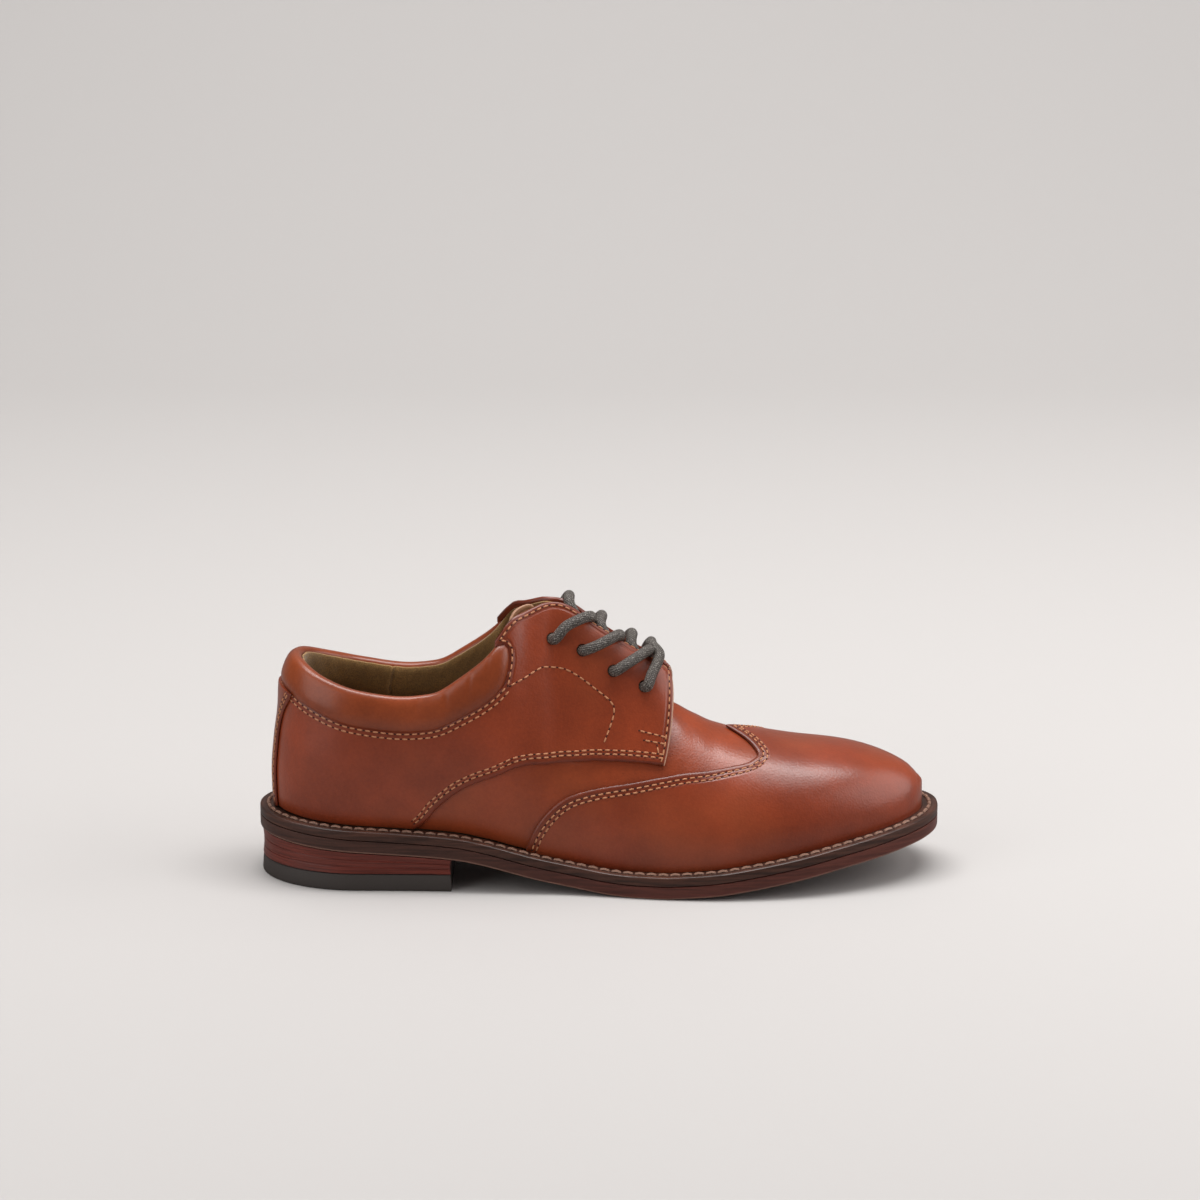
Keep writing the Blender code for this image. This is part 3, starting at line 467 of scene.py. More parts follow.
def resample(line: np.ndarray, pitch: float) -> np.ndarray:
    """Points along a line at an even pitch, with whatever other columns it carries."""
    steps = np.linalg.norm(np.diff(line[:, :3], axis=0), axis=1)
    run = np.concatenate([[0.0], np.cumsum(steps)])
    count = max(2, int(round(run[-1] / pitch)) + 1)
    at = np.linspace(0.0, run[-1], count)
    return np.stack([np.interp(at, run, column) for column in line.T], 1)


def smooth_line(points: np.ndarray, steps: int) -> np.ndarray:
    """Curve through given points: each stretch is a cubic whose slopes join its neighbours'."""
    points = np.asarray(points, float)
    ends = np.concatenate([[2 * points[0] - points[1]], points, [2 * points[-1] - points[-2]]])
    a, b, c, d = ends[:-3], ends[1:-2], ends[2:-1], ends[3:]
    t = (np.arange(steps) / steps)[None, :, None]
    a, b, c, d = (v[:, None, :] for v in (a, b, c, d))
    run = 0.5 * (2 * b + (c - a) * t + (2 * a - 5 * b + 4 * c - d) * t**2
                 + (3 * b - a - 3 * c + d) * t**3)
    return np.concatenate([run.reshape(-1, points.shape[1]), points[-1:]])


@dataclass
class Piece:
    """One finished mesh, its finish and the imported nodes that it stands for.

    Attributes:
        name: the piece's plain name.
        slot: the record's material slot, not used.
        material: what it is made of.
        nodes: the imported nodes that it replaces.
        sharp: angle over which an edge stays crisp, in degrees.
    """

    name: str
    slot: str
    material: bpy.types.Material
    nodes: tuple[str, ...] = ()
    sharp: float = 38.0

    def make(self, verts: np.ndarray, faces: np.ndarray | list,
             values: dict[str, np.ndarray] | None = None,
             uv: np.ndarray | None = None) -> bpy.types.Object:
        """Build, clean and dress the mesh, attach it to the root and hide the nodes that it
        replaces.

        Args:
            verts: points in the frame.
            faces: corner numbers of each face.
            values: numbers per point, kept as named attributes for the material.
            uv: two numbers per point, where a pattern follows the surface.

        Returns:
            The finished object at the origin.
        """
        mesh = bpy.data.meshes.new(self.name)
        mesh.from_pydata(np.asarray(verts).tolist(), [], np.asarray(faces).tolist()
                         if isinstance(faces, np.ndarray) else faces)
        for key, data in (values or {}).items():
            mesh.attributes.new(key, "FLOAT", "POINT").data.foreach_set("value", data.ravel())
        if uv is not None:
            layer = mesh.uv_layers.new(name="run")
            corners = np.empty(len(mesh.loops), int)
            mesh.loops.foreach_get("vertex_index", corners)
            layer.data.foreach_set("uv", uv[corners].ravel())
        work = bmesh.new()
        work.from_mesh(mesh)
        bmesh.ops.remove_doubles(work, verts=work.verts, dist=2e-6)
        bmesh.ops.dissolve_degenerate(work, edges=work.edges, dist=1e-6)
        loose = [v for v in work.verts if not v.link_faces]
        bmesh.ops.delete(work, geom=loose, context="VERTS")
        bmesh.ops.recalc_face_normals(work, faces=work.faces)
        work.to_mesh(mesh)
        work.free()
        mesh.shade_smooth()
        mesh.set_sharp_from_angle(angle=math.radians(self.sharp))
        item = linked(self.name, mesh)
        mesh.materials.append(self.material)
        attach(item, "root")
        if self.nodes:
            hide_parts(*self.nodes)
        LOG.info("%s: %d faces", self.name, len(mesh.polygons))
        return item


class Tree:
    """Adds and joins shader nodes in one material or group."""

    def __init__(self, tree: bpy.types.NodeTree) -> None:
        """Keep the tree that the nodes go into."""
        self.tree = tree

    def node(self, kind: str, inputs: dict | None = None, **settings) -> bpy.types.Node:
        """Add a node.

        Args:
            kind: the node's type.
            inputs: socket name or number to a value or to another node's output.
            **settings: the node's own properties.

        Returns:
            The new node.
        """
        made = self.tree.nodes.new(kind)
        for key, value in settings.items():
            setattr(made, key, value)
        for key, value in (inputs or {}).items():
            socket = made.inputs[key]
            if isinstance(value, bpy.types.NodeSocket):
                self.tree.links.new(value, socket)
            else:
                socket.default_value = value
        return made

    def math(self, operation: str, a: Value, b: Value = 0.0) -> Socket:
        """Result of one sum on two values."""
        return self.node("ShaderNodeMath", {0: a, 1: b}, operation=operation).outputs[0]

    def mix(self, factor: Value, a: Value, b: Value, blend: str = "MIX") -> Socket:
        """Colour between two colours."""
        made = self.node("ShaderNodeMix", {0: factor, 6: a, 7: b}, data_type="RGBA",
                         blend_type=blend)
        return made.outputs[2]

    def band(self, value: Value, low: float, high: Value, out_low: float = 0.0,
             out_high: float = 1.0) -> Socket:
        """Value eased from one range to another and held at its ends."""
        made = self.node("ShaderNodeMapRange", {0: value, 1: low, 2: high, 3: out_low, 4: out_high},
                         interpolation_type="SMOOTHSTEP")
        return made.outputs[0]

    def noise(self, vector: Socket, scale: Value, detail: float = 3.0,
              roughness: float = 0.55) -> Socket:
        """Soft noise from 0 to 1."""
        inputs = {"Vector": vector, "Scale": scale, "Detail": detail, "Roughness": roughness}
        return self.node("ShaderNodeTexNoise", inputs).outputs["Fac"]

    def place(self) -> Socket:
        """Object coordinates, in metres."""
        return self.node("ShaderNodeTexCoord").outputs["Object"]

    def value(self, name: str) -> Socket:
        """A number kept on the mesh's points."""
        return self.node("ShaderNodeAttribute", attribute_name=name).outputs["Fac"]


def group(name: str, sockets: dict[str, float], results: tuple[str, ...],
          fill: Callable[[Tree, bpy.types.Node], tuple]) -> None:
    """Make one shared effect as a node group.

    Args:
        name: the group's name.
        sockets: its inputs and their usual values.
        results: its outputs.
        fill: called with the tree and the input node, and gives a socket for each output.
    """
    made = bpy.data.node_groups.new(name, "ShaderNodeTree")
    for key, usual in sockets.items():
        socket = made.interface.new_socket(key, in_out="INPUT", socket_type="NodeSocketFloat")
        socket.default_value = usual
    for key in results:
        made.interface.new_socket(key, in_out="OUTPUT", socket_type="NodeSocketFloat")
    tree = Tree(made)
    entry = tree.node("NodeGroupInput")
    leave = tree.node("NodeGroupOutput")
    for key, socket in zip(results, fill(tree, entry)):
        made.links.new(socket, leave.inputs[key])


def fill_grain(tree: Tree, entry: bpy.types.Node) -> tuple:
    """Grain: small closed cells and a softer roll under them, both in millimetres of height."""
    place = tree.place()
    closed = tree.node("ShaderNodeTexVoronoi", {"Vector": place, "Scale": entry.outputs["Cells"]},
                       feature="SMOOTH_F1")
    small = tree.math("MULTIPLY", closed.outputs["Distance"], entry.outputs["Depth"])
    roll = tree.noise(place, 170.0, 2.0)
    rolled = tree.math("MULTIPLY", roll, entry.outputs["Roll"])
    blotch = tree.noise(place, 34.0, 4.0, 0.6)
    return tree.math("ADD", small, rolled), blotch


def fill_wear_and_shade(tree: Tree, entry: bpy.types.Node) -> tuple:
    """Wear and painted shade: dark near a folded edge, partly burnished dye and partly painted
    shade; a dip along each seam, which the finishes darken as painted shade; and a raw line on a
    cut edge.
    """
    edge = tree.value("edge")
    stitch = tree.value("stitch")
    # Darker near a folded edge: partly burnished dye, partly painted shade at the fold.
    burnish_and_shade = tree.band(edge, 0.0, entry.outputs["Reach"], 1.0, 0.0)
    ragged = tree.noise(tree.place(), 260.0, 3.0)
    burnish_and_shade = tree.math("MULTIPLY", burnish_and_shade, tree.band(ragged, 0.2, 0.7, 0.55, 1.0))
    # Dip along each seam: a groove in the relief, and painted shade where the finishes darken the
    # colour in it.
    dip = tree.band(stitch, 0.0, entry.outputs["Dip"], 1.0, 0.0)
    raw = tree.band(tree.value("cut"), 0.25, 0.60, 1.0, 0.0)
    return burnish_and_shade, dip, raw


def fill_dust(tree: Tree, entry: bpy.types.Node) -> tuple:
    """Dust and rub: sparse pale specks and soft smudges, both as masks."""
    place = tree.place()
    speck = tree.noise(place, entry.outputs["Scale"], 5.0, 0.75)
    smudge = tree.noise(place, 22.0, 3.0, 0.5)
    return tree.band(speck, 0.66, 0.80), tree.band(smudge, 0.42, 0.75)


def make_groups() -> None:
    """Build the effects that several finishes share."""
    group("grain", {"Cells": 1500.0, "Depth": 0.02, "Roll": 0.03}, ("Height", "Blotch"), fill_grain)
    group("wear_and_shade", {"Reach": 4.0, "Dip": 0.9}, ("BurnishAndShade", "Dip", "Raw"), fill_wear_and_shade)
    group("dust", {"Scale": 900.0}, ("Speck", "Smudge"), fill_dust)


def rgba(colour: Colour, gain: float = 1.0) -> tuple[float, float, float, float]:
    """Colour with full cover, made lighter or darker."""
    return (colour[0] * gain, colour[1] * gain, colour[2] * gain, 1.0)


@dataclass(frozen=True)
class Finish:
    """What every finish has: a name, a colour and a roughness."""

    name: str
    colour: Colour
    roughness: float

    def start(self) -> tuple[bpy.types.Material, Tree, bpy.types.Node]:
        """New material with its tree helper and its Principled shader."""
        material = bpy.data.materials.new(self.name)
        material.use_nodes = True
        shader = material.node_tree.nodes["Principled BSDF"]
        shader.inputs["Base Color"].default_value = rgba(self.colour)
        shader.inputs["Roughness"].default_value = self.roughness
        return material, Tree(material.node_tree), shader

    def shared(self, tree: Tree, name: str, inputs: dict[str, float]) -> bpy.types.Node:
        """Place a shared effect with this finish's own values."""
        return tree.node("ShaderNodeGroup", inputs, node_tree=bpy.data.node_groups[name])

    def dress(self, tree: Tree, shader: bpy.types.Node, colour: Socket, height: Socket,
              fixed: dict[str, float] | None = None) -> None:
        """Join a finished colour and relief to the shader.

        Args:
            tree: the material's tree helper.
            shader: its Principled shader.
            colour: what goes to the base colour.
            height: relief in millimetres, for the normal and the coat's normal.
            fixed: sockets that hold one number all over the surface.
        """
        tree.tree.links.new(colour, shader.inputs["Base Color"])
        for key, value in (fixed or {}).items():
            shader.inputs[key].default_value = value
        relief = tree.node("ShaderNodeBump", {"Height": height, "Distance": MM, "Strength": 1.0})
        for key in ("Normal", "Coat Normal"):
            tree.tree.links.new(relief.outputs[0], shader.inputs[key])


@dataclass(frozen=True)
class Calf(Finish):
    """Polished calf leather, burnished by hand.

    Attributes:
        burnish_and_shade_colour: colour of the burnished parts, also used as painted shade at
            folded edges and in the seams' dips.
        bright: colour where the dye is thin.
        raw: colour of a cut edge, mixed in by raw_share.
        gloss: weight of the polish over the grain.
        reach: millimetres from an edge over which it is darkened, partly burnished dye and partly
            painted shade at the fold.
        grain: depth of the grain's cells, in millimetres.
    """

    burnish_and_shade_colour: Colour = (0.085, 0.011, 0.004)
    bright: Colour = (0.42, 0.105, 0.030)
    raw: Colour = (0.62, 0.36, 0.24)
    raw_share: float = 0.0
    gloss: float = 0.95
    reach: float = 5.0
    grain: float = 0.04

    def build(self) -> bpy.types.Material:
        """Make the material."""
        material, tree, shader = self.start()
        grain = self.shared(tree, "grain", {"Cells": 1400.0, "Depth": self.grain, "Roll": 0.07})
        wear_and_shade = self.shared(tree, "wear_and_shade", {"Reach": self.reach, "Dip": 0.8})
        dust = self.shared(tree, "dust", {"Scale": 700.0})
        tone = tree.band(grain.outputs["Blotch"], 0.30, 0.72)
        colour = tree.mix(tone, rgba(self.colour, 0.80), rgba(self.colour, 1.15))
        pores = tree.noise(tree.place(), 900.0, 4.0, 0.7)
        colour = tree.mix(tree.band(pores, 0.30, 0.70), colour, rgba((1.16, 1.2, 1.25)), "MULTIPLY")
        # Darker near folded edges: partly burnished dye, partly painted shade, and on the collar
        # roll painted shade over its lower half. Darker along each seam's dip: painted shade in the
        # groove.
        for mask, share, other in ((dust.outputs["Smudge"], 0.22, self.bright),
                                   (wear_and_shade.outputs["BurnishAndShade"], 0.62, self.burnish_and_shade_colour),
                                   (wear_and_shade.outputs["Dip"], 0.25, self.burnish_and_shade_colour),
                                   (wear_and_shade.outputs["Raw"], self.raw_share, self.raw)):
            colour = tree.mix(tree.math("MULTIPLY", mask, share), colour, rgba(other))
        rough = tree.band(dust.outputs["Smudge"], 0.0, 1.0, self.roughness, self.roughness + 0.10)
        tree.tree.links.new(rough, shader.inputs["Roughness"])
        height = tree.math("SUBTRACT", grain.outputs["Height"],
                           tree.math("MULTIPLY", wear_and_shade.outputs["Dip"], 0.16))
        self.dress(tree, shader, colour, height,
                   {"Specular IOR Level": 0.15, "Coat Weight": self.gloss,
                    "Coat Roughness": 0.30, "Coat IOR": 1.48})
        return material


@dataclass(frozen=True)
class Suede(Finish):
    """Brushed suede: short nap lying in patches, dull with a soft sheen.

    Attributes:
        nap: height of the fibres, in millimetres.
    """

    nap: float = 0.22

    def build(self) -> bpy.types.Material:
        """Make the material."""
        material, tree, shader = self.start()
        place = tree.place()
        fibre = tree.noise(place, 1900.0, 4.0, 0.75)
        patch = tree.noise(place, 60.0, 3.0, 0.6)
        dark, pale = rgba(self.colour, 0.62), rgba(self.colour, 1.45)
        fine = tree.mix(tree.band(fibre, 0.3, 0.7), dark, pale)
        shaded = tree.mix(0.35, fine, rgba(self.colour, 0.5))
        colour = tree.mix(tree.band(patch, 0.35, 0.68), shaded, fine)
        self.dress(tree, shader, colour, tree.math("MULTIPLY", fibre, self.nap),
                   {"Sheen Weight": 0.35, "Sheen Roughness": 0.5})
        return material


@dataclass(frozen=True)
class Thread(Finish):
    """Waxed sewing thread with a fine twist."""

    def build(self) -> bpy.types.Material:
        """Make the material."""
        material, tree, shader = self.start()
        twist = tree.noise(tree.place(), 2600.0, 2.0, 0.6)
        dark, pale = rgba(self.colour, 0.75), rgba(self.colour, 1.2)
        colour = tree.mix(tree.band(twist, 0.3, 0.7), dark, pale)
        self.dress(tree, shader, colour, tree.math("MULTIPLY", twist, 0.08))
        return material


@dataclass(frozen=True)
class WaxedBraid(Finish):
    """Round braided lace: two sets of strands cross on its run, with pale flecks.

    Attributes:
        fleck: colour of the pale strands.
    """

    fleck: Colour = (0.42, 0.38, 0.34)

    def build(self) -> bpy.types.Material:
        """Make the material.

        The run's first number goes once round the cord and its second counts strand
        pitches along it, so the strands are the sines of their sum and difference.
        """
        material, tree, shader = self.start()
        run = tree.node("ShaderNodeUVMap", uv_map="run").outputs[0]
        parts = tree.node("ShaderNodeSeparateXYZ", {0: run})
        around = tree.math("MULTIPLY", parts.outputs[0], 7.0)
        ways = []
        for operation in ("ADD", "SUBTRACT"):
            turn = tree.math("MULTIPLY", tree.math(operation, parts.outputs[1], around),
                             2.0 * math.pi)
            ways.append(tree.math("ABSOLUTE", tree.math("SINE", turn)))
        weave = tree.math("MAXIMUM", ways[0], ways[1])
        speck = tree.noise(tree.place(), 2100.0, 2.0, 0.8)
        pale = tree.math("MULTIPLY", tree.band(speck, 0.50, 0.64), tree.band(weave, 0.70, 0.98))
        # Darker between the crossing strands: painted shade in the braid's grooves.
        colour = tree.mix(tree.band(weave, 0.55, 1.0), rgba(self.colour, 0.35), rgba(self.colour))
        colour = tree.mix(pale, colour, rgba(self.fleck))
        self.dress(tree, shader, colour, tree.math("MULTIPLY", weave, 0.35),
                   {"Coat Weight": 0.25, "Coat Roughness": 0.35})
        return material


@dataclass(frozen=True)
class CutEdge(Finish):
    """Dyed edge of pressed leather, ground smooth along the sole.

    Attributes:
        layer: thickness of a layer in the edge, in metres.
        gloss: weight of the wax on it.
        contrast: how far the streaks stray from the colour.
        front: colour towards the toe, where it differs from the heel's.
        rim_highlight: colour of the painted highlight on the bottom rim, where the floor's light
            catches the chamfer.
        dusty: colour of the dust.
    """

    layer: float = 1.1 * MM
    gloss: float = 0.25
    contrast: float = 0.45
    front: Colour | None = None
    rim_highlight: Colour = (0.36, 0.20, 0.15)
    dusty: Colour = (0.42, 0.33, 0.27)

    def build(self) -> bpy.types.Material:
        """Make the material: streaks run level, and specks of dust sit in them."""
        material, tree, shader = self.start()
        place = tree.place()
        level = tree.node("ShaderNodeVectorMath", {0: place, 1: (60.0, 60.0, 1.0 / self.layer)},
                          operation="MULTIPLY").outputs[0]
        streak = tree.noise(level, 1.0, 3.0, 0.6)
        dust = self.shared(tree, "dust", {"Scale": 800.0})
        rim = tree.math("MULTIPLY", tree.value("rim"), 0.6)
        low, high = 1.0 - self.contrast, 1.0 + self.contrast
        streaks = tree.band(streak, 0.3, 0.7)
        colour = tree.mix(streaks, rgba(self.colour, low), rgba(self.colour, high))
        if self.front:
            along = tree.node("ShaderNodeSeparateXYZ", {0: place}).outputs[0]
            toe = tree.mix(streaks, rgba(self.front, low), rgba(self.front, high))
            colour = tree.mix(tree.band(along, 0.02, 0.12), colour, toe)
        # Painted highlight: a pale line on the outsole's bottom rim, as if the floor's light caught
        # its chamfer.
        colour = tree.mix(rim, colour, rgba(self.rim_highlight))
        speck = tree.math("MULTIPLY", dust.outputs["Speck"], 0.22)
        colour = tree.mix(speck, colour, rgba(self.dusty))
        self.dress(tree, shader, colour, tree.math("MULTIPLY", streak, 0.06),
                   {"Coat Weight": self.gloss, "Coat Roughness": 0.3, "Specular IOR Level": 0.3})
        return material


@dataclass(frozen=True)
class Rubber(Finish):
    """Moulded rubber, dull and finely pitted.

    Attributes:
        dusty: colour of the dust.
    """

    dusty: Colour = (0.25, 0.2, 0.17)

    def build(self) -> bpy.types.Material:
        """Make the material."""
        material, tree, shader = self.start()
        pits = tree.noise(tree.place(), 1300.0, 3.0, 0.7)
        dust = self.shared(tree, "dust", {"Scale": 600.0})
        speck = tree.math("MULTIPLY", dust.outputs["Speck"], 0.3)
        colour = tree.mix(speck, rgba(self.colour), rgba(self.dusty))
        self.dress(tree, shader, colour, tree.math("MULTIPLY", pits, 0.08))
        return material


@dataclass
class Finishes:
    """Every finish on the shoe, built once."""

    made: dict[str, bpy.types.Material] = field(default_factory=dict)

    def build(self) -> None:
        """Make all the materials and keep them under plain names."""
        recipes = (
            Calf("calf_body", (0.275, 0.043, 0.0105), 0.42),
            Calf("calf_cap", (0.245, 0.037, 0.0105), 0.40),
            Calf("calf_collar", (0.255, 0.046, 0.0105), 0.40, gloss=0.9, grain=0.03),
            Calf("calf_facing", (0.265, 0.040, 0.0105), 0.42, raw_share=0.8, reach=3.5),
            Calf("calf_tongue", (0.30, 0.15, 0.06), 0.48, gloss=0.15, raw_share=0.6),
            Suede("suede_lining", (0.33, 0.175, 0.050), 0.92),
            Suede("suede_sock", (0.14, 0.085, 0.032), 0.9, nap=0.12),
            Thread("thread_tan", (0.56, 0.24, 0.115), 0.55),
            Thread("thread_welt", (0.27, 0.145, 0.10), 0.5),
            # Pinholes: painted shade, a near-black colour standing in for the dark of the needle
            # holes.
            Thread("pinhole_shade", (0.045, 0.010, 0.004), 0.8),
            WaxedBraid("braid", (0.085, 0.068, 0.056), 0.5),
            CutEdge("edge_welt", (0.062, 0.023, 0.014), 0.45),
            CutEdge("edge_sole", (0.062, 0.023, 0.015), 0.45, 0.8 * MM, 0.20, 0.30,
                    (0.105, 0.026, 0.017)),
            CutEdge("edge_stack", (0.145, 0.026, 0.016), 0.42, 0.45 * MM, 0.20, 0.30),
            Rubber("rubber", (0.052, 0.041, 0.036), 0.6),
        )
        for recipe in recipes:
            self.made[recipe.name] = recipe.build()

    def __getitem__(self, name: str) -> bpy.types.Material:
        """The material of that name."""
        return self.made[name]


def grid_normals(points: np.ndarray, sign: float) -> np.ndarray:
    """Unit normals of a grid: the cross of its two slopes, turned by the sign."""
    return unit(np.cross(np.gradient(points, axis=0), np.gradient(points, axis=1)) * sign)


def rounded(base: np.ndarray, normal: np.ndarray, edge: np.ndarray, low: float, high: float,
            radius: float) -> tuple[np.ndarray, np.ndarray]:
    """Outer and inner faces of a panel whose edge is rounded like a folded hide.

    The thickness grows from nothing at the edge along a quarter of a circle.

    Args:
        base: grid of points that the panel is measured from.
        normal: their outward normals.
        edge: distance of each point from the panel's edge, in metres.
        low: height of the inner face over the base.
        high: height of the outer face over the base.
        radius: distance over which the edge rounds off.

    Returns:
        The two grids.
    """
    inside = 1.0 - np.clip(edge / radius, 0.0, 1.0)
    full = np.sqrt(np.clip(1.0 - inside**2, 0.0, 1.0))[..., None]
    middle, half = (low + high) / 2.0, (high - low) / 2.0
    return base + normal * (middle + half * full), base + normal * (middle - half * full)


def seam_values(edge: np.ndarray, margins: tuple[float, ...]) -> np.ndarray:
    """Distance in millimetres from the nearest of the stitch rows beside an edge."""
    return np.minimum.reduce([np.abs(edge / MM - margin) for margin in margins])


def marks(edge: np.ndarray, **more: np.ndarray) -> dict[str, np.ndarray]:
    """Attributes of a panel, for its outer and its inner grid.

    Args:
        edge: distance of each point from the panel's edge, in metres.
        **more: other numbers for each point, under their names.
    """
    named = {"edge": edge / MM, **more}
    return {key: np.concatenate([grid.ravel(), grid.ravel()]) for key, grid in named.items()}


@dataclass
class Leathers:
    """The cut leather of the upper: vamp, wing cap, quarters and back strip.

    Attributes:
        last: the surface that they lie on.
        finishes: the shoe's finishes.
        cap_rows: stitch rows inside the wing's edge, in millimetres.
        quarter_rows: stitch rows inside the quarter's lower edge.
        flange_rows: stitch rows inside the facing's edges.
        collar_rows: stitch rows below the collar's seam.
        strip_rows: stitch rows inside the strip's edges.
        throat: station where the vamp ends under the facings.
        corner_lift: how far the facing's back corner stands over the roll, in rows.
        vamp_thickness: thickness of the vamp's leather.
        cap_faces: the cap's inner and outer face over the last, and its edge's radius.
        quarter_faces: the same for the quarters.
        strip_faces: the same for the back strip.
        strip_ends: rows where the back strip begins and ends.
        punch_reach: half the length of the punch that cuts a lace hole.
        made: the finished pieces that get sewn.
    """

    last: Last
    finishes: Finishes
    cap_rows: tuple[float, ...] = (2.2, 3.7)
    quarter_rows: tuple[float, ...] = (2.4, 3.8)
    flange_rows: tuple[float, ...] = (1.5,)
    collar_rows: tuple[float, ...] = (1.1, 2.9)
    strip_rows: tuple[float, ...] = (1.4, 2.7)
    throat: float = 0.556
    corner_lift: float = 0.045
    vamp_thickness: float = 1.8 * MM
    cap_faces: tuple[float, float, float] = (0.05 * MM, 1.55 * MM, 1.1 * MM)
    quarter_faces: tuple[float, float, float] = (-2.0 * MM, 0.0, 0.9 * MM)
    strip_faces: tuple[float, float, float] = (-0.05 * MM, 1.15 * MM, 0.8 * MM)
    strip_ends: tuple[float, float] = (0.012, 0.785)
    punch_reach: float = 5.0 * MM
    made: dict[str, bpy.types.Object] = field(default_factory=dict)

    def across(self, count: int, low: float = 0.0) -> tuple[np.ndarray, np.ndarray]:
        """Rows and sides of a run from the outer feather line over the ridge to the inner."""
        t = np.linspace(-1.0, 1.0, 2 * count + 1)
        row = 1.0 - np.abs(t) * (1.0 - low)
        return row, sides(t)

    def toe_normals(self, base: np.ndarray) -> np.ndarray:
        """Normals of a grid that closes at the toe, level and straight ahead at its end."""
        normal = grid_normals(base, 1.0)
        normal[-1, :, 1] = 0.0
        normal[-1, :, 0] = np.abs(normal[-1, :, 0]) + 0.3
        return unit(normal)

    def vamp(self) -> None:
        """Vamp: the lasted wall from under the quarters' lower edge to the toe."""
        row, side = self.across(70)
        rows = np.array(QUARTER_EDGE["row"][1:]) + 0.06
        back = np.interp(row, rows, np.array(QUARTER_EDGE["station"][1:])) - 0.02
        back = np.where(row > rows[-2], self.throat, np.minimum(back, self.throat))
        v = 1.0 - (1.0 - np.linspace(0.0, 1.0, 110)) ** 1.8
        station = back[None, :] + v[:, None] * (1.0 - back)[None, :]
        base = self.last.point(station, row[None, :], side[None, :])
        self.crease(base, station, row[None, :])
        normal = self.toe_normals(base)
        verts, faces = shell(base, base - normal * self.vamp_thickness, joined=("last_row",))
        far = np.full(len(verts), NOWHERE)
        piece = Piece("vamp_leather", "tan_leather", self.finishes["calf_body"])
        piece.make(verts, faces, {"edge": far, "stitch": far})

    def crease(self, base: np.ndarray, station: np.ndarray, row: np.ndarray) -> None:
        """Press soft walking creases into the vamp: troughs with a low ridge before each."""
        side_fade = ease((row - 0.45) / 0.3)
        for middle, lean, depth, width in CREASES:
            gap = station - middle - lean * (1.0 - row)
            trough = np.exp(-((gap / width) ** 2))
            ridge = 0.5 * np.exp(-(((gap - 1.8 * width) / width) ** 2))
            base[..., 2] += depth * MM * (ridge - trough) * side_fade

    def wing_line(self, count: int) -> np.ndarray:
        """Points and normals along the wing's edge, from welt to welt over the ridge."""
        row, side = self.across(count, WING_EDGE["row"][0])
        station = read(WING_EDGE, "station", row, key="row")
        return self.with_normals(station, row, side, "wall")

    def with_normals(self, station: np.ndarray, row: np.ndarray, side: np.ndarray | float,
                     surface: str) -> np.ndarray:
        """Six columns: points of a surface and its normals there."""
        return np.concatenate([self.last.reader(surface)(station, row, side),
                               self.last.normal(station, row, side, surface)], axis=-1)

    def wing_cap(self) -> None:
        """Wing cap: laid over the vamp, with its edge rounded and sewn twice."""
        row, side = self.across(110)
        start = read(WING_EDGE, "station", row, key="row")
        near = np.array([0.0, 1.2, 2.6, 4.2, 6.0, 8.5, 11.5, 15.0, 19.0, 24.0, 30.0, 38.0]) * MM
        rest = 1.0 - (1.0 - np.linspace(0.0, 1.0, 70)) ** 1.7
        v = np.concatenate([near, 0.048 + rest * (1.0 - 0.048)])
        station = start[None, :] + v[:, None] * (1.0 - start)[None, :]
        base = self.last.point(station, row[None, :], side[None, :])
        normal = self.toe_normals(base)
        edge = distances(base, self.wing_line(500)[:, :3])
        outer, inner = rounded(base, normal, edge, *self.cap_faces)
        verts, faces = shell(outer, inner, joined=("last_row",))
        piece = Piece("wing_cap_leather", "tan_cap_leather", self.finishes["calf_cap"],
                      ("wing_cap",))
        self.made["cap"] = piece.make(verts, faces,
                                      marks(edge, stitch=seam_values(edge, self.cap_rows)))

    def crest(self, station: np.ndarray | float) -> np.ndarray:
        """Row of the quarter's top: the facing's back corner stands up over the roll."""
        ahead = np.maximum(np.asarray(station, float) - NOSE, 0.0)
        return 1.0 + self.corner_lift * np.exp(-((ahead / 0.030) ** 2))

    def placed(self, station: np.ndarray, row: np.ndarray) -> np.ndarray:
        """Stations of the quarter's points, with its shaped facing edges.

        Round the nose the columns follow its curve and straighten over a few millimetres,
        and the front edge leans back from its crest by the square of the height.
        """
        share = np.clip((row - 0.73) / 0.27, 0.0, 1.0)
        swell = read(NOSE_CURVE, "shift", share, key="share")
        swell = swell * np.exp(-np.abs(station - NOSE) / 0.03) * ease((row - 0.60) / 0.13)
        crest = 0.82
        lean = self.last.front_sweep / LAST["length"]
        lean = lean * ((row - crest) / (crest - QUARTER_EDGE["row"][-1])) ** 2
        return station + swell - lean * ease((station / FRONT - 0.75) * 4.0)

    def quarter_lines(self, sign: float) -> dict[str, np.ndarray]:
        """The quarter's edges on one side, as dense lines in the frame."""
        lines = {}
        run = np.linspace(0.0, FRONT, 500)
        low = read(QUARTER_EDGE, "row", run)
        lines["low"] = (run, low)
        run = np.linspace(0.0, NOSE, 260)
        lines["seam"] = (run, read(COLLAR_SEAM, "row", run))
        rows = np.linspace(0.73, float(self.crest(NOSE)), 120)
        lines["back"] = (np.full(120, NOSE), rows)
        run = np.linspace(NOSE, FRONT, 260)
        lines["top"] = (run, self.crest(run))
        rows = np.linspace(float(low[-1]), 1.0, 160)
        lines["front"] = (np.full(160, FRONT), rows)
        return {name: self.with_normals(self.placed(station, row), row, sign, "quarter")
                for name, (station, row) in lines.items()}

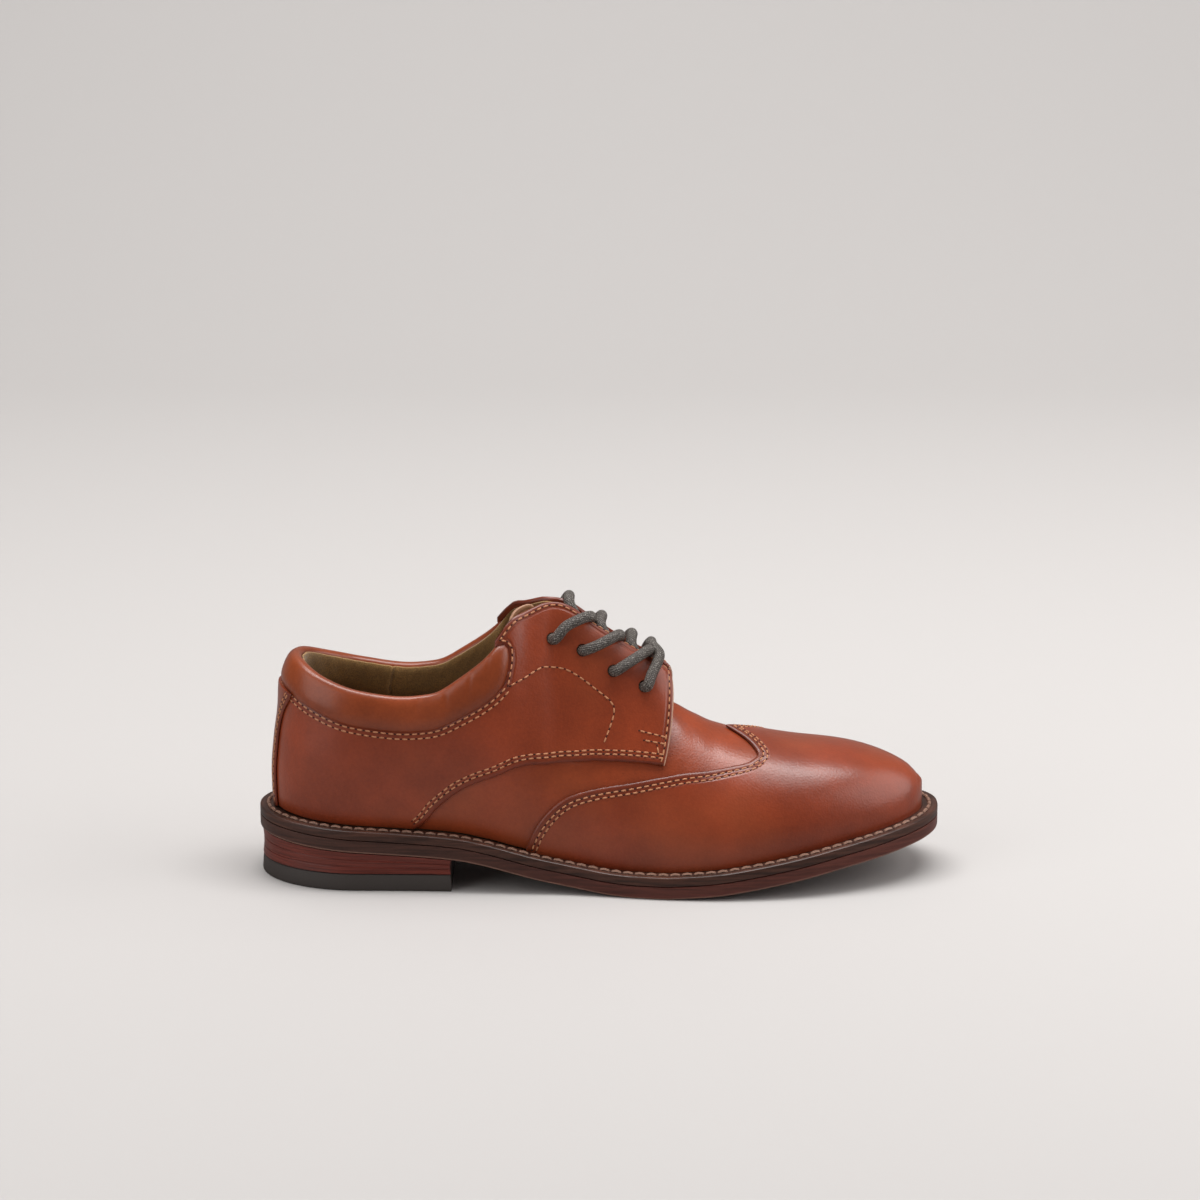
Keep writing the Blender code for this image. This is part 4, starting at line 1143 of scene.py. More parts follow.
    def quarters(self) -> None:
        """Both quarters with their facings, as one sheet round the heel."""
        half = np.unique(np.concatenate([
            FRONT * swelling(120),
            NOSE + np.array([0.0, 1.0, 2.0, 3.0, 4.5, 6.0, 8.0, 11.0]) * MM / LAST["length"]]))
        signed, station, side = round_heel(half)
        low = read(QUARTER_EDGE, "row", station)
        middle = read(COLLAR_SEAM, "row", station)
        share = swelling(46)
        above = (self.crest(station) - middle) * swelling(40)[1:]
        row = np.concatenate([low + (middle - low) * share, middle + above], 1)
        station = self.placed(np.broadcast_to(station, row.shape), row)
        base = self.last.quarter(station, row, side)
        normal = grid_normals(base, -1.0)
        lines = {}
        for side_name in Side:
            for name, line in self.quarter_lines(side_name.value).items():
                lines[name, side_name] = line[HIDDEN if name == "low" else 0:, :3]
        edge = distances(base, np.concatenate(list(lines.values())))
        sewn = np.concatenate([line for (name, _), line in lines.items() if name != "seam"])
        rows_from = distances(base, sewn)
        columns = (np.abs(signed[:-1]) + np.abs(signed[1:])) / 2.0
        keep = np.ones((len(signed) - 1, row.shape[1] - 1), bool)
        keep[columns < NOSE, len(share) - 1:] = False
        outer, inner = rounded(base, normal, edge, *self.quarter_faces)
        verts, faces = shell(outer, inner, keep)
        fronts = distances(base, np.concatenate([lines["front", side_name] for side_name in Side]))
        values = marks(edge, cut=fronts / MM, stitch=seam_values(rows_from, self.quarter_rows[:1]))
        piece = Piece("quarters_leather", "tan_leather", self.finishes["calf_facing"], ("upper",))
        self.made["quarters"] = piece.make(verts, faces, values)
        self.punch(self.made["quarters"], piece)

    def facing(self, x: float, margin: float, sign: float) -> tuple[np.ndarray, np.ndarray]:
        """Point and normal on the facing, x metres along the last and a margin from its edge."""
        station = x / LAST["length"]
        rows = np.linspace(0.6, 1.0, 161)
        strip = np.array([station - 0.004, station, station + 0.004])
        grid = self.last.quarter(strip[:, None], rows[None, :], sign)
        steps = np.linalg.norm(np.diff(grid[1], axis=0), axis=1)
        left = np.concatenate([np.cumsum(steps[::-1])[::-1], [0.0]])
        pick = int(np.argmin(np.abs(left - margin)))
        return grid[1, pick], grid_normals(grid, sign * -1.0)[1, pick]

    def hole(self, index: int, sign: float) -> tuple[np.ndarray, np.ndarray]:
        """Centre and normal of a lace hole, counted from the top of the lacing."""
        return self.facing(HOLES["first"] + index * HOLES["pitch"], HOLES["margin"], sign)

    def punch(self, item: bpy.types.Object, piece: Piece) -> None:
        """Cut the eight lace holes, each by a closed round punch.

        Args:
            item: the finished quarters.
            piece: their recipe, for the finish and the crisp angle.
        """
        count = 24
        angle = np.linspace(0.0, 2.0 * math.pi, count + 1)[:-1, None]
        cuts, faces = [], []
        spots = [(index, side.value) for index in range(HOLES["pairs"]) for side in Side]
        for number, (index, sign) in enumerate(spots):
            centre, out = self.hole(index, sign)
            side_way = unit(np.cross(out, [1.0, 0.0, 0.0]))
            other = np.cross(out, side_way)
            ring = HOLES["radius"] * (np.cos(angle) * side_way + np.sin(angle) * other)
            reach = out * self.punch_reach
            cuts.append(np.concatenate([centre + ring - reach, centre + ring + reach]))
            first = np.arange(count) + 2 * count * number
            second = first + count
            quads = np.stack([first, np.roll(first, -1), np.roll(second, -1), second], 1)
            faces += quads.tolist() + [first[::-1].tolist(), second.tolist()]
        mesh = bpy.data.meshes.new("punches")
        mesh.from_pydata(np.concatenate(cuts).tolist(), [], faces)
        work = bmesh.new()
        work.from_mesh(mesh)
        bmesh.ops.recalc_face_normals(work, faces=work.faces)
        work.to_mesh(mesh)
        work.free()
        tool = linked("punches", mesh)
        cut = item.modifiers.new("punch", "BOOLEAN")
        cut.operation, cut.solver, cut.object = "DIFFERENCE", "EXACT", tool
        bpy.context.view_layer.update()
        graph = bpy.context.evaluated_depsgraph_get()
        result = bpy.data.meshes.new_from_object(item.evaluated_get(graph))
        item.modifiers.clear()
        item.data = result
        result.materials.clear()
        result.materials.append(piece.material)
        result.shade_smooth()
        result.set_sharp_from_angle(angle=math.radians(piece.sharp))
        bpy.data.objects.remove(tool, do_unlink=True)

    def strip_half(self, row: np.ndarray) -> np.ndarray:
        """Half width of the back strip: narrow at the heel and wide under the collar."""
        return 7.0 * MM + 5.5 * MM * ease((row - 0.45) / 0.35) ** 2

    def strip_point(self, across: np.ndarray, row: np.ndarray) -> np.ndarray:
        """Points of the strip: a share of its width is carried round the heel's circle."""
        foot = PLAN["half"][0] * LAST["ball"]
        reach = np.clip(np.abs(across) * self.strip_half(row) / foot, 0.0, 0.97)
        station = LAST["heel_round"] / LAST["length"] * (1.0 - np.sqrt(1.0 - reach**2))
        return self.last.quarter(station, row, sides(across))

    def back_strip(self) -> None:
        """Strip over the back seam."""
        across = np.linspace(-1.0, 1.0, 49)[:, None]
        base = self.strip_point(across, np.linspace(*self.strip_ends, 90)[None, :])
        edges = [self.strip_point(np.full(300, side.value), np.linspace(*self.strip_ends, 300))
                 for side in Side]
        edge = distances(base, np.concatenate(edges))
        outer, inner = rounded(base, grid_normals(base, -1.0), edge, *self.strip_faces)
        verts, faces = shell(outer, inner)
        piece = Piece("back_strip_leather", "tan_cap_leather", self.finishes["calf_cap"],
                      ("back_strip",))
        self.made["strip"] = piece.make(verts, faces,
                                        marks(edge, stitch=seam_values(edge, self.strip_rows)))

    def build(self) -> None:
        """Make every cut of leather."""
        self.vamp()
        self.wing_cap()
        self.quarters()
        self.back_strip()


@dataclass
class Inside:
    """What is soft or hidden: collar roll, lining, insole sock and tongue.

    Attributes:
        last: the surface that they lie on.
        finishes: the shoe's finishes.
        roll_thickness: thickness of the padded roll.
        roll_sunk: how far the roll's middle lies under the wall.
        squareness: power of the roll's waves; less than one is squarer than an ellipse.
        nose_tuck: stations that the roll runs on under the quarter's back edge.
        seam_tuck: rows that it runs on under the quarter's seam.
        lining_seam: station of the lining's joint.
        lining_depth: depth of the lining under the quarters.
        lining_thickness: thickness of the suede.
        tongue_half: half width that the tongue's table counts in.
        tongue_faces: its inner and outer face, and its edge's radius.
        facing_room: room between the tongue's face and the facings' outer face.
        vamp_room: the same for the vamp.
        lip_middle: station of the tongue corner's middle.
        lip_half: half its length, in stations.
        lip_depth: its depth under the facing's surface.
        lip_faces: its inner and outer face, and its edge's radius.
    """

    last: Last
    finishes: Finishes
    roll_thickness: float = 5.8 * MM
    roll_sunk: float = 0.5 * MM
    squareness: float = 0.78
    nose_tuck: float = 0.0034
    seam_tuck: float = 0.017
    lining_seam: float = 0.1646
    lining_depth: float = 3.25 * MM
    lining_thickness: float = 0.6 * MM
    tongue_half: float = 15.0 * MM
    tongue_faces: tuple[float, float, float] = (-2.2 * MM, 0.0, 1.2 * MM)
    facing_room: float = 3.4 * MM
    vamp_room: float = 2.1 * MM
    lip_middle: float = 0.377
    lip_half: float = 0.0205
    lip_depth: float = 3.1 * MM
    lip_faces: tuple[float, float, float] = (-0.9 * MM, 0.9 * MM, 0.9 * MM)

    def plump(self, turns: np.ndarray) -> np.ndarray:
        """Squarish wave: the sine of a turn raised to less than one, with its own sign."""
        wave = np.sin(turns)
        return np.sign(wave) * np.abs(wave) ** self.squareness

    def collar(self) -> None:
        """Padded roll: a squarish loop between seam and rim, carried from nose to nose.

        A point's share of the height follows the loop's upright wave and its thickness
        the level wave. The noses follow the curve of the quarter's back edge, where the
        thickness closes along a quarter of a circle.
        """
        _, station, side = round_heel(NOSE * swelling(130))
        turns = np.linspace(0.0, 2.0 * math.pi, 41)[None, :-1]
        share = 0.5 + 0.5 * self.plump(turns + math.pi / 2.0)
        near_nose = ease((station / NOSE - 0.80) / 0.20)
        curve = read(NOSE_CURVE, "shift", share, key="share") + self.nose_tuck
        bent = station + near_nose * curve
        seam = read(COLLAR_SEAM, "row", bent) - self.seam_tuck
        row = seam + (1.0 - seam) * share
        base = self.last.point(bent, row, side)
        normal = self.last.normal(bent, row, side)
        left = np.clip((NOSE - station) * LAST["length"] / (5.0 * MM), 0.002, 1.0)
        closing = np.sqrt(1.0 - (1.0 - left) ** 2)
        pinch = np.ones_like(bent)
        for place, depth, width in ROLL_WRINKLES:
            gap = bent - place - 0.010 * (share - 0.5)
            pinch -= depth * np.exp(-((gap / width) ** 2)) * ease((share - 0.1) / 0.4)
        thick = self.roll_thickness / 2.0 * pinch * closing * self.plump(turns)
        loops = base + normal * (thick - self.roll_sunk)[..., None]
        verts, faces = tube(loops)
        # Painted shade: the "edge" values grow with the height share, so the finish darkens the
        # roll's lower half and keeps its top lighter.
        values = {"edge": 2.0 + 9.0 * share * np.ones_like(bent),
                  "stitch": np.full(len(verts), NOWHERE)}
        piece = Piece("collar_pad", "collar_leather", self.finishes["calf_collar"],
                      ("collar_roll",))
        item = piece.make(verts, faces, values)

    def lining(self) -> None:
        """Suede lining: follows the quarters inside and the inner side of the padded roll.

        Behind the nose its depth is that of the roll, which is the squarish loop's level
        wave at the height share of each row. A sewn joint stands on the inner side.
        """
        beside = np.array([-1.6, -0.9, -0.5, 0.0, 0.5, 0.9, 1.6]) * MM / LAST["length"]
        half = np.unique(np.concatenate([np.linspace(0.0, 0.585, 120), self.lining_seam + beside]))
        _, station, side = round_heel(half)
        behind = ease((NOSE + 0.004 - station) / 0.02)
        top = 0.985 - 0.005 * behind
        row = top * (1.0 - (1.0 - np.linspace(0.0, 1.0, 72)) ** 1.4)[None, :]
        base = self.last.quarter(station, row, side)
        normal = grid_normals(base, -1.0)
        seam = read(COLLAR_SEAM, "row", station) - self.seam_tuck
        upright = np.clip(2.0 * (row - seam) / (1.0 - seam) - 1.0, -1.0, 1.0)
        level = (1.0 - np.abs(upright) ** (2.0 / self.squareness)) ** (self.squareness / 2.0)
        roll = self.last.quarter_step + self.roll_sunk + 0.15 * MM
        roll = roll + self.roll_thickness / 2.0 * level
        collar = np.maximum(roll - self.lining_depth, 0.0) * behind
        facing = -1.15 * MM * ease((row - 0.50) / 0.2) * (1.0 - behind)
        nap = 0.10 * MM * np.sin(station * 260.0) * np.sin(row * 37.0)
        gap = (station - self.lining_seam) * LAST["length"] / MM
        ridge = 0.45 * MM * np.exp(-(((gap + 0.5) / 0.55) ** 2)) * (side > 0.0)
        groove = -0.35 * MM * np.exp(-(((gap - 0.5) / 0.45) ** 2)) * (side > 0.0)
        depth = (self.lining_depth + collar + facing + nap + ridge + groove)[..., None]
        verts, faces = shell(base - normal * depth,
                             base - normal * (depth + self.lining_thickness))
        Piece("lining_suede", "insole_suede", self.finishes["suede_lining"]).make(verts, faces)

    def sock(self) -> None:
        """Insole with its sock: a plate with a rounded upper edge and a low crown."""
        low = LAST["outsole_thickness"] + LAST["seam_gap"]
        profile = ((-3.0, 0.0), (-3.0, 4.1), (-3.3, 4.6), (-4.0, 4.8))
        loops = np.stack([self.last.sole_loop(offset * MM, low + lift * MM, 90)
                          for offset, lift in profile])
        verts, faces = tube(loops)
        piece = Piece("insole_sock", "insole_suede", self.finishes["suede_sock"], ("insole",))
        piece.make(verts, faces)

    def ceiling(self, surface: str, station: float, reach: np.ndarray, clear: float) -> np.ndarray:
        """Heights that stay clear under a surface, at distances from the instep's middle.

        Args:
            surface: "wall" or "quarter".
            station: place along the last.
            reach: distances across.
            clear: room to leave, measured square to the surface.

        Returns:
            One height for each distance.
        """
        rows = np.linspace(0.35, 1.0, 61)
        strip = np.array([station - 0.004, station, station + 0.004])[:, None]
        grid = self.last.reader(surface)(strip, rows[None, :], Side.LATERAL.value)
        upward = np.clip(grid_normals(grid, 1.0)[1, :, 2], 0.2, 1.0)
        centre = LAST["ball"] * read(PLAN, "centre", station)
        across = np.abs(grid[1, ::-1, 1] - centre)
        lowered = (grid[1, :, 2] - clear / upward)[::-1]
        return np.interp(reach, across, np.minimum.accumulate(lowered))

    def tongue(self) -> None:
        """Tongue: hangs from the vamp's throat and rises under the facings to their top."""
        stations = np.linspace(TONGUE["station"][0], TONGUE["station"][-1], 44)
        across = np.linspace(-1.0, 1.0, 33)
        half = self.tongue_half * read(TONGUE, "half", stations)
        sunk = read(TONGUE, "sunk", stations)
        centre = LAST["ball"] * read(PLAN, "centre", stations)
        base = np.zeros((len(stations), len(across), 3))
        base[..., 0] = (LAST["welt_width"] - LAST["heel_length"] / 2
                        + LAST["length"] * stations[:, None])
        base[..., 1] = centre[:, None] + half[:, None] * across[None, :]
        for i, station in enumerate(stations):
            reach = np.abs(half[i] * across)
            facing = self.ceiling("quarter", station, reach, self.facing_room)
            vamp = self.ceiling("wall", station, reach, self.vamp_room)
            base[i, :, 2] = facing * (1.0 - sunk[i]) + vamp * sunk[i]
        border = np.concatenate([base[0], base[:, 0], base[:, -1]])
        edge = distances(base, smooth_line(border, 3))
        outer, inner = rounded(base, grid_normals(base, 1.0), edge, *self.tongue_faces)
        verts, faces = shell(outer, inner)
        piece = Piece("tongue_leather", "tan_leather", self.finishes["calf_tongue"], ("tongue",))
        piece.make(verts, faces, marks(edge, cut=edge / MM, stitch=seam_values(edge, (2.4,))))

    def lip(self) -> None:
        """Corner of the tongue that stands up inside the outer facing.

        Its top follows the facing's edge a few millimetres over it and bends down at both
        ends along a half ellipse.
        """
        run = np.linspace(-1.0, 1.0, 60)[:, None]
        rise = np.linspace(0.0, 1.0, 24)[None, :]
        station = self.lip_middle + self.lip_half * run + 0.004 * rise
        arch = np.sqrt(np.clip(1.0 - run**2, 0.0, 1.0))
        row = 0.90 + rise * (0.065 + 0.105 * arch)
        face = self.last.quarter(station, row, Side.LATERAL.value)
        normal = self.last.normal(station, row, Side.LATERAL.value, "quarter")
        base = face - normal * self.lip_depth
        top = np.concatenate([base[0], base[:, -1], base[-1, ::-1]])
        edge = distances(base, resample(top, 0.4 * MM))
        outer, inner = rounded(base, normal, edge, *self.lip_faces)
        verts, faces = shell(outer, inner)
        piece = Piece("tongue_corner", "tan_leather", self.finishes["calf_tongue"])
        piece.make(verts, faces, marks(edge, cut=edge / MM, stitch=seam_values(edge, (2.0,))))

    def build(self) -> None:
        """Make every inner piece."""
        self.collar()
        self.lining()
        self.sock()
        self.tongue()
        self.lip()


@dataclass
class Bottom:
    """Welt, outsole, stacked heel and top lift.

    Attributes:
        last: the surface whose outline they follow.
        finishes: the shoe's finishes.
        count: points along each side of an outline.
        lift_height: height where the stack stands on the top lift.
    """

    last: Last
    finishes: Finishes
    count: int = 150
    lift_height: float = 6.5 * MM

    def loops(self, profile: tuple, base: float) -> np.ndarray:
        """Sole outlines for each offset and lift of a profile, in millimetres."""
        return np.stack([self.last.sole_loop(offset * MM, base + lift * MM, self.count)
                         for offset, lift in profile])

    def welt(self) -> None:
        """Welt: a strip whose top has a shallow groove for the seam."""
        low = LAST["outsole_thickness"] + LAST["seam_gap"]
        profile = ((-2.1, 0.0), (7.2, 0.0), (7.37, 0.06), (7.4, 0.3), (7.4, 2.5), (7.28, 2.95),
                   (6.95, 3.2), (6.5, 3.3), (5.1, 3.3), (4.75, 3.17), (4.4, 3.12), (4.05, 3.17),
                   (3.7, 3.3), (0.9, 3.3), (0.4, 3.2), (-0.3, 2.9), (-2.1, 2.7))
        verts, faces = tube(self.loops(profile, low), capped=False)
        piece = Piece("welt_strip", "welt_brown", self.finishes["edge_welt"], ("welt",))
        piece.make(verts, faces)

    def outsole(self) -> None:
        """Outsole: one layer with its edge ground round."""
        profile = ((6.2, 0.0), (6.9, 0.08), (7.3, 0.4), (7.42, 0.9), (7.42, 4.3), (7.39, 4.6),
                   (7.28, 4.68), (6.4, 4.7))
        verts, faces = tube(self.loops(profile, 0.0))
        # The rim values mark the bottom chamfer, which the edge finish paints with a pale
        # highlight.
        rim = np.array([0.0, 1.0, 0.9, 0.0, 0.0, 0.0, 0.0, 0.0]).repeat(len(verts) // len(profile))
        piece = Piece("outsole_leather", "outsole_brown", self.finishes["edge_sole"], ("outsole",))
        piece.make(verts, faces, {"rim": rim})

    def heel_loop(self, offset: float, count: int = 70) -> np.ndarray:
        """Plan loop of the heel, its breast cut straight across, in the sole's own x."""
        fine = 240
        flat = self.last.outline(LAST["welt_width"] + offset, fine)
        lateral, medial = flat[:fine], np.concatenate([flat[:1], flat[:fine - 1:-1]])
        breast = LAST["heel_length"] + offset
        share = 1.0 - np.cos(np.linspace(0.0, math.pi / 2.0, count))
        xs = lateral[0, 0] + (breast - lateral[0, 0]) * share
        near = np.column_stack([xs, np.interp(xs, lateral[:, 0], lateral[:, 1])])
        far = np.column_stack([xs, np.interp(xs, medial[:, 0], medial[:, 1])])
        steps = np.linspace(near[-1], far[-1], 24)[1:-1]
        return np.concatenate([near, steps, far[:0:-1]])

    def heel(self) -> None:
        """Stacked heel and top lift: level loops with fine grooves between the layers."""
        low = self.lift_height
        grooves = (0.30, 0.64)
        share = np.unique(np.concatenate([np.linspace(0.0, 1.0, 9)] + [
            [g - 0.03, g - 0.012, g, g + 0.012, g + 0.03] for g in grooves]))
        loops = []
        for level in share:
            cut = sum(0.16 * math.exp(-(((level - g) / 0.013) ** 2)) for g in grooves)
            hollow = 0.7 * math.sin(math.pi * (0.15 + 0.85 * (1.0 - level)) / 1.2)
            flat = self.heel_loop(-(0.5 + hollow + cut) * MM)
            top = self.last.sole_rise(flat[:, 0]) - 0.3 * MM
            loops.append(np.column_stack([flat, low + (top - low) * level]))
        self.capped("heel_stack_leather", "stacked_leather", "edge_stack", "heel_stack", loops)
        profile = ((0.9, 0.0), (0.62, 0.25), (0.55, 0.8), (0.95, 5.6), (1.1, 6.0), (1.4, 6.2))
        loops = []
        for inset, level in profile:
            flat = self.heel_loop(-inset * MM)
            loops.append(np.column_stack([flat, np.full(len(flat), level * MM)]))
        self.capped("top_lift_rubber_cut", "top_lift_rubber", "rubber", "top_lift", loops)

    def capped(self, name: str, slot: str, finish: str, node: str, loops: list) -> None:
        """Close a pile of loops with one flat face on each end and place it in the frame."""
        pile = np.stack(loops)
        pile[..., 0] -= LAST["heel_length"] / 2
        index, faces = belt(*pile.shape[:2])
        faces += [index[0].tolist(), index[-1][::-1].tolist()]
        Piece(name, slot, self.finishes[finish], (node,)).make(pile.reshape(-1, 3), faces)

    def build(self) -> None:
        """Make the whole bottom."""
        self.welt()
        self.outsole()
        self.heel()


@dataclass
class Lacing:
    """One waxed braided lace through the eight holes.

    Attributes:
        leathers: the quarters that carry the holes.
        finishes: the shoe's finishes.
        radius: half the cord's thickness.
        near_advance: millimetres forward that an outer run goes from its hole to the gap.
        far_advance: the same for an inner run.
        row_pitch: distance between two rings of the cord.
        strand_pitch: length of the braid's pattern.
        lift: room between the cord and the leather.
    """

    leathers: Leathers
    finishes: Finishes
    radius: float = 2.0 * MM
    near_advance: tuple[float, ...] = (13.2, 12.5, 12.0)
    far_advance: float = 5.8
    row_pitch: float = 0.45 * MM
    strand_pitch: float = 1.7 * MM
    lift: float = 0.35 * MM

    def over(self, index: int, sign: float, steps: tuple) -> list[np.ndarray]:
        """Points from inside a hole up, out and over the facing.

        Args:
            index: number of the hole, from the top of the lacing.
            sign: the facing's side.
            steps: millimetres forward of the hole, left to the free edge, and of extra lift.

        Returns:
            The points, from the inside outwards.
        """
        place, out = self.leathers.hole(index, sign)
        clear = self.radius + self.lift
        x = HOLES["first"] + index * HOLES["pitch"]
        points = [place - out * 4.6 * MM, place - out * 1.0 * MM,
                  place + out * (clear - 1.1 * MM) + np.array([0.9, 0.0, 0.0]) * MM]
        for forward, margin, lift in steps:
            spot, up = self.leathers.facing(x + forward * MM, margin * MM, sign)
            points.append(spot + up * (clear + lift * MM))
        return points

    def gap(self, x: float, lift: float) -> np.ndarray:
        """Point over or under the middle of the gap between the facings."""
        edges = [self.leathers.facing(x, 0.0, side.value)[0] for side in Side]
        return (edges[0] + edges[1]) / 2.0 + np.array([0.0, 0.0, lift])

    def half(self, sign: float) -> list[np.ndarray]:
        """Points of one half of the lace, from its hidden end to the front bar."""
        top, out = self.leathers.hole(0, sign)
        points = [top - out * 9.0 * MM]
        front = HOLES["pairs"] - 1
        for index in range(front):
            near = sign == Side.LATERAL.value
            ahead = self.near_advance[index] if near else self.far_advance
            rise = 1.2 if near else 0.7
            steps = ((ahead * 0.36, 9.2, 0.5), (ahead * 0.68, 4.9, rise), (ahead * 0.92, 1.6, 0.8))
            points += self.over(index, sign, steps)
            x = HOLES["first"] + index * HOLES["pitch"]
            points.append(self.gap(x + (ahead + 0.5) * MM, -0.9 * MM))
            sign = -sign
            under, out = self.leathers.facing(x + HOLES["pitch"] + 1.0 * MM, 4.5 * MM, sign)
            points.append(under - out * (self.radius + 2.6 * MM))
        lean = (1.8, 3.1, 3.3) if sign == Side.LATERAL.value else (0.0, 0.4, 1.0)
        points += self.over(front, sign, tuple(zip(lean, (9.4, 5.0, 1.4), (0.3, 0.7, 1.0))))
        return points

    def build(self) -> None:
        """Carry a round section along the whole run."""
        near = self.half(Side.LATERAL.value)
        far = self.half(Side.MEDIAL.value)
        front = HOLES["first"] + (HOLES["pairs"] - 1) * HOLES["pitch"]
        top = self.gap(front + 2.2 * MM, 3.4 * MM)
        line = resample(smooth_line(near + [top] + far[::-1], 14), self.row_pitch)
        tangent = unit(np.gradient(line, axis=0))
        first = unit(np.array([1.0, 0.0, 0.0]) - tangent * tangent[:, :1])
        second = np.cross(tangent, first)
        turns = np.linspace(0.0, 2.0 * math.pi, 21)
        ring = (np.cos(turns)[None, :, None] * first[:, None] + np.sin(turns)[None, :, None]
                * second[:, None]) * self.radius
        grid = line[:, None] + ring
        rows, columns = grid.shape[:2]
        index = np.arange(rows * columns).reshape(rows, columns)
        quads = np.stack([index[:-1, :-1], index[:-1, 1:], index[1:, 1:], index[1:, :-1]], -1)
        faces = quads.reshape(-1, 4).tolist()
        faces += [index[0, :-1].tolist(), index[-1, :-1][::-1].tolist()]
        run = np.arange(rows) * self.row_pitch / self.strand_pitch
        uv = np.stack(np.broadcast_arrays((turns / (2 * math.pi))[None, :], run[:, None]), -1)
        nodes = ("lace_cross_1", "lace_cross_2", "lace_cross_3", "lace_bar")
        piece = Piece("lace_braid", "waxed_cord", self.finishes["braid"], nodes)
        piece.make(grid.reshape(-1, 3), faces, uv=uv.reshape(-1, 2))


@dataclass
class Sewing:
    """Thread and pinholes of every seam.

    Attributes:
        leathers: the cut pieces that the seams lie on.
        finishes: the shoe's finishes.
        last: the surface under them.
        pitch: length of a stitch on the upper.
        radius: half the thread's thickness.
        welt_pitch: length of a stitch on the welt.
        welt_radius: half the welt thread's thickness.
        welt_offset: how far the welt's seam lies outside the feather line.
        threads: the upper's stitches, as they are sewn.
        pits: the pinholes at their ends, dark spindles painted as the shade inside the needle
            holes.
    """

    leathers: Leathers
    finishes: Finishes
    last: Last
    pitch: float = 2.8 * MM
    radius: float = 0.31 * MM
    welt_pitch: float = 4.3 * MM
    welt_radius: float = 0.68 * MM
    welt_offset: float = 4.4 * MM
    threads: list = field(default_factory=list)
    pits: list = field(default_factory=list)

    def tree_of(self, name: str) -> BVHTree:
        """Search tree of a finished cut of leather."""
        mesh = self.leathers.made[name].data
        verts = [v.co.copy() for v in mesh.vertices]
        return BVHTree.FromPolygons(verts, [tuple(p.vertices) for p in mesh.polygons])

    def snapped(self, tree: BVHTree, points: np.ndarray) -> tuple[np.ndarray, np.ndarray]:
        """Nearest points of a mesh and the normals there."""
        found = [tree.find_nearest(Vector(p)) for p in points]
        return (np.array([tuple(f[0]) for f in found]), np.array([tuple(f[1]) for f in found]))

    def inside(self, tree: BVHTree, edge: np.ndarray, margin: float) -> np.ndarray:
        """Line beside an edge, a margin into the panel and back on its surface.

        The edge is moved along the cross of its normal and its run, to the side where the
        panel is, and points that come nearer to the edge than the margin are dropped.
        """
        edge = resample(edge, 0.8 * MM)
        edge, up = edge[:, :3], edge[:, 3:]
        way = unit(np.cross(up, np.gradient(edge, axis=0)))
        tries = []
        for side in Side:
            moved, _ = self.snapped(tree, edge + way * margin * side.value + up * 1.6 * MM)
            tries.append(moved[distances(moved, edge) > margin * 0.90])
        return max(tries, key=len)

    def steady(self, normal: np.ndarray) -> np.ndarray:
        """Normals averaged over their neighbours, because a rounded edge turns them."""
        window = np.ones(9) / 9.0
        wide = np.pad(normal, ((4, 4), (0, 0)), mode="edge")
        return unit(np.stack([np.convolve(axis, window, mode="valid") for axis in wide.T], 1))

    def sew(self, tree: BVHTree, line: np.ndarray) -> None:
        """Lay stitches along a line on a piece, with a pinhole at each end."""
        points, normal = self.snapped(tree, resample(line, self.pitch))
        self.stitches(points, self.steady(normal), self.radius)

    def stitches(self, points: np.ndarray, normal: np.ndarray, radius: float,
                 fill: float = 0.74, sink: float = 0.15) -> None:
        """Stitch from each point to the next: a spindle that dives at both ends.

        Args:
            points: where the needle went in.
            normal: outward normals there.
            radius: half the thread's thickness.
            fill: share of the pitch that the thread shows.
            sink: share of the thread's thickness that lies in the leather.
        """
        start, end = points[:-1], points[1:]
        length = np.linalg.norm(end - start, axis=1)
        fine = (length > 0.3 * MM) & (length < 9.0 * MM)
        start, end, length = start[fine], end[fine], length[fine]
        up = (normal[:-1] + normal[1:])[fine]
        run = (end - start) / length[:, None]
        up = unit(up - run * (up * run).sum(1, keepdims=True))
        side = np.cross(up, run)
        self.threads.append(self.spindles((start + end) / 2, run, side, up, length * fill,
                                          radius, sink))
        # Pinholes: dark spindles sunk at each stitch's start, painted shade in place of the needle
        # holes.
        self.pits.append(self.spindles(start, run, side, up, np.full(len(start), 3.0 * radius),
                                       radius * 0.95, sink=0.55))

    def spindles(self, centre: np.ndarray, run: np.ndarray, side: np.ndarray, up: np.ndarray,
                 length: np.ndarray, radius: float, sink: float) -> np.ndarray:
        """Rings of points for many small spindles at once: five rings of six points."""
        along = np.array([-0.5, -0.36, 0.0, 0.36, 0.5])
        girth = np.array([0.12, 0.85, 1.0, 0.85, 0.12])
        dive = np.array([-1.1, -0.35, 0.0, -0.35, -1.1]) * radius
        turn = np.arange(6) * math.pi / 3.0
        x = along[None, :, None, None] * length[:, None, None, None] * run[:, None, None]
        y = (girth[:, None] * np.cos(turn) * radius)[None, ..., None] * side[:, None, None]
        lift = girth[:, None] * np.sin(turn) * radius * 0.8 + dive[:, None] + radius * (0.5 - sink)
        return centre[:, None, None] + x + y + lift[None, ..., None] * up[:, None, None]

    def piece(self, name: str, slot: str, finish: str, parts: list) -> None:
        """Join spindles into one mesh of closed spindles."""
        rings = np.concatenate(parts)
        count = len(rings)
        index = np.arange(count * 30).reshape(count, 5, 6)
        after = np.roll(index, -1, axis=2)
        round_it = np.stack([index[:, :-1], after[:, :-1], after[:, 1:], index[:, 1:]], -1)
        faces = round_it.reshape(-1, 4).tolist()
        faces += index[:, 0, ::-1].tolist() + index[:, -1].tolist()
        Piece(name, slot, self.finishes[finish]).make(rings.reshape(-1, 3), faces)

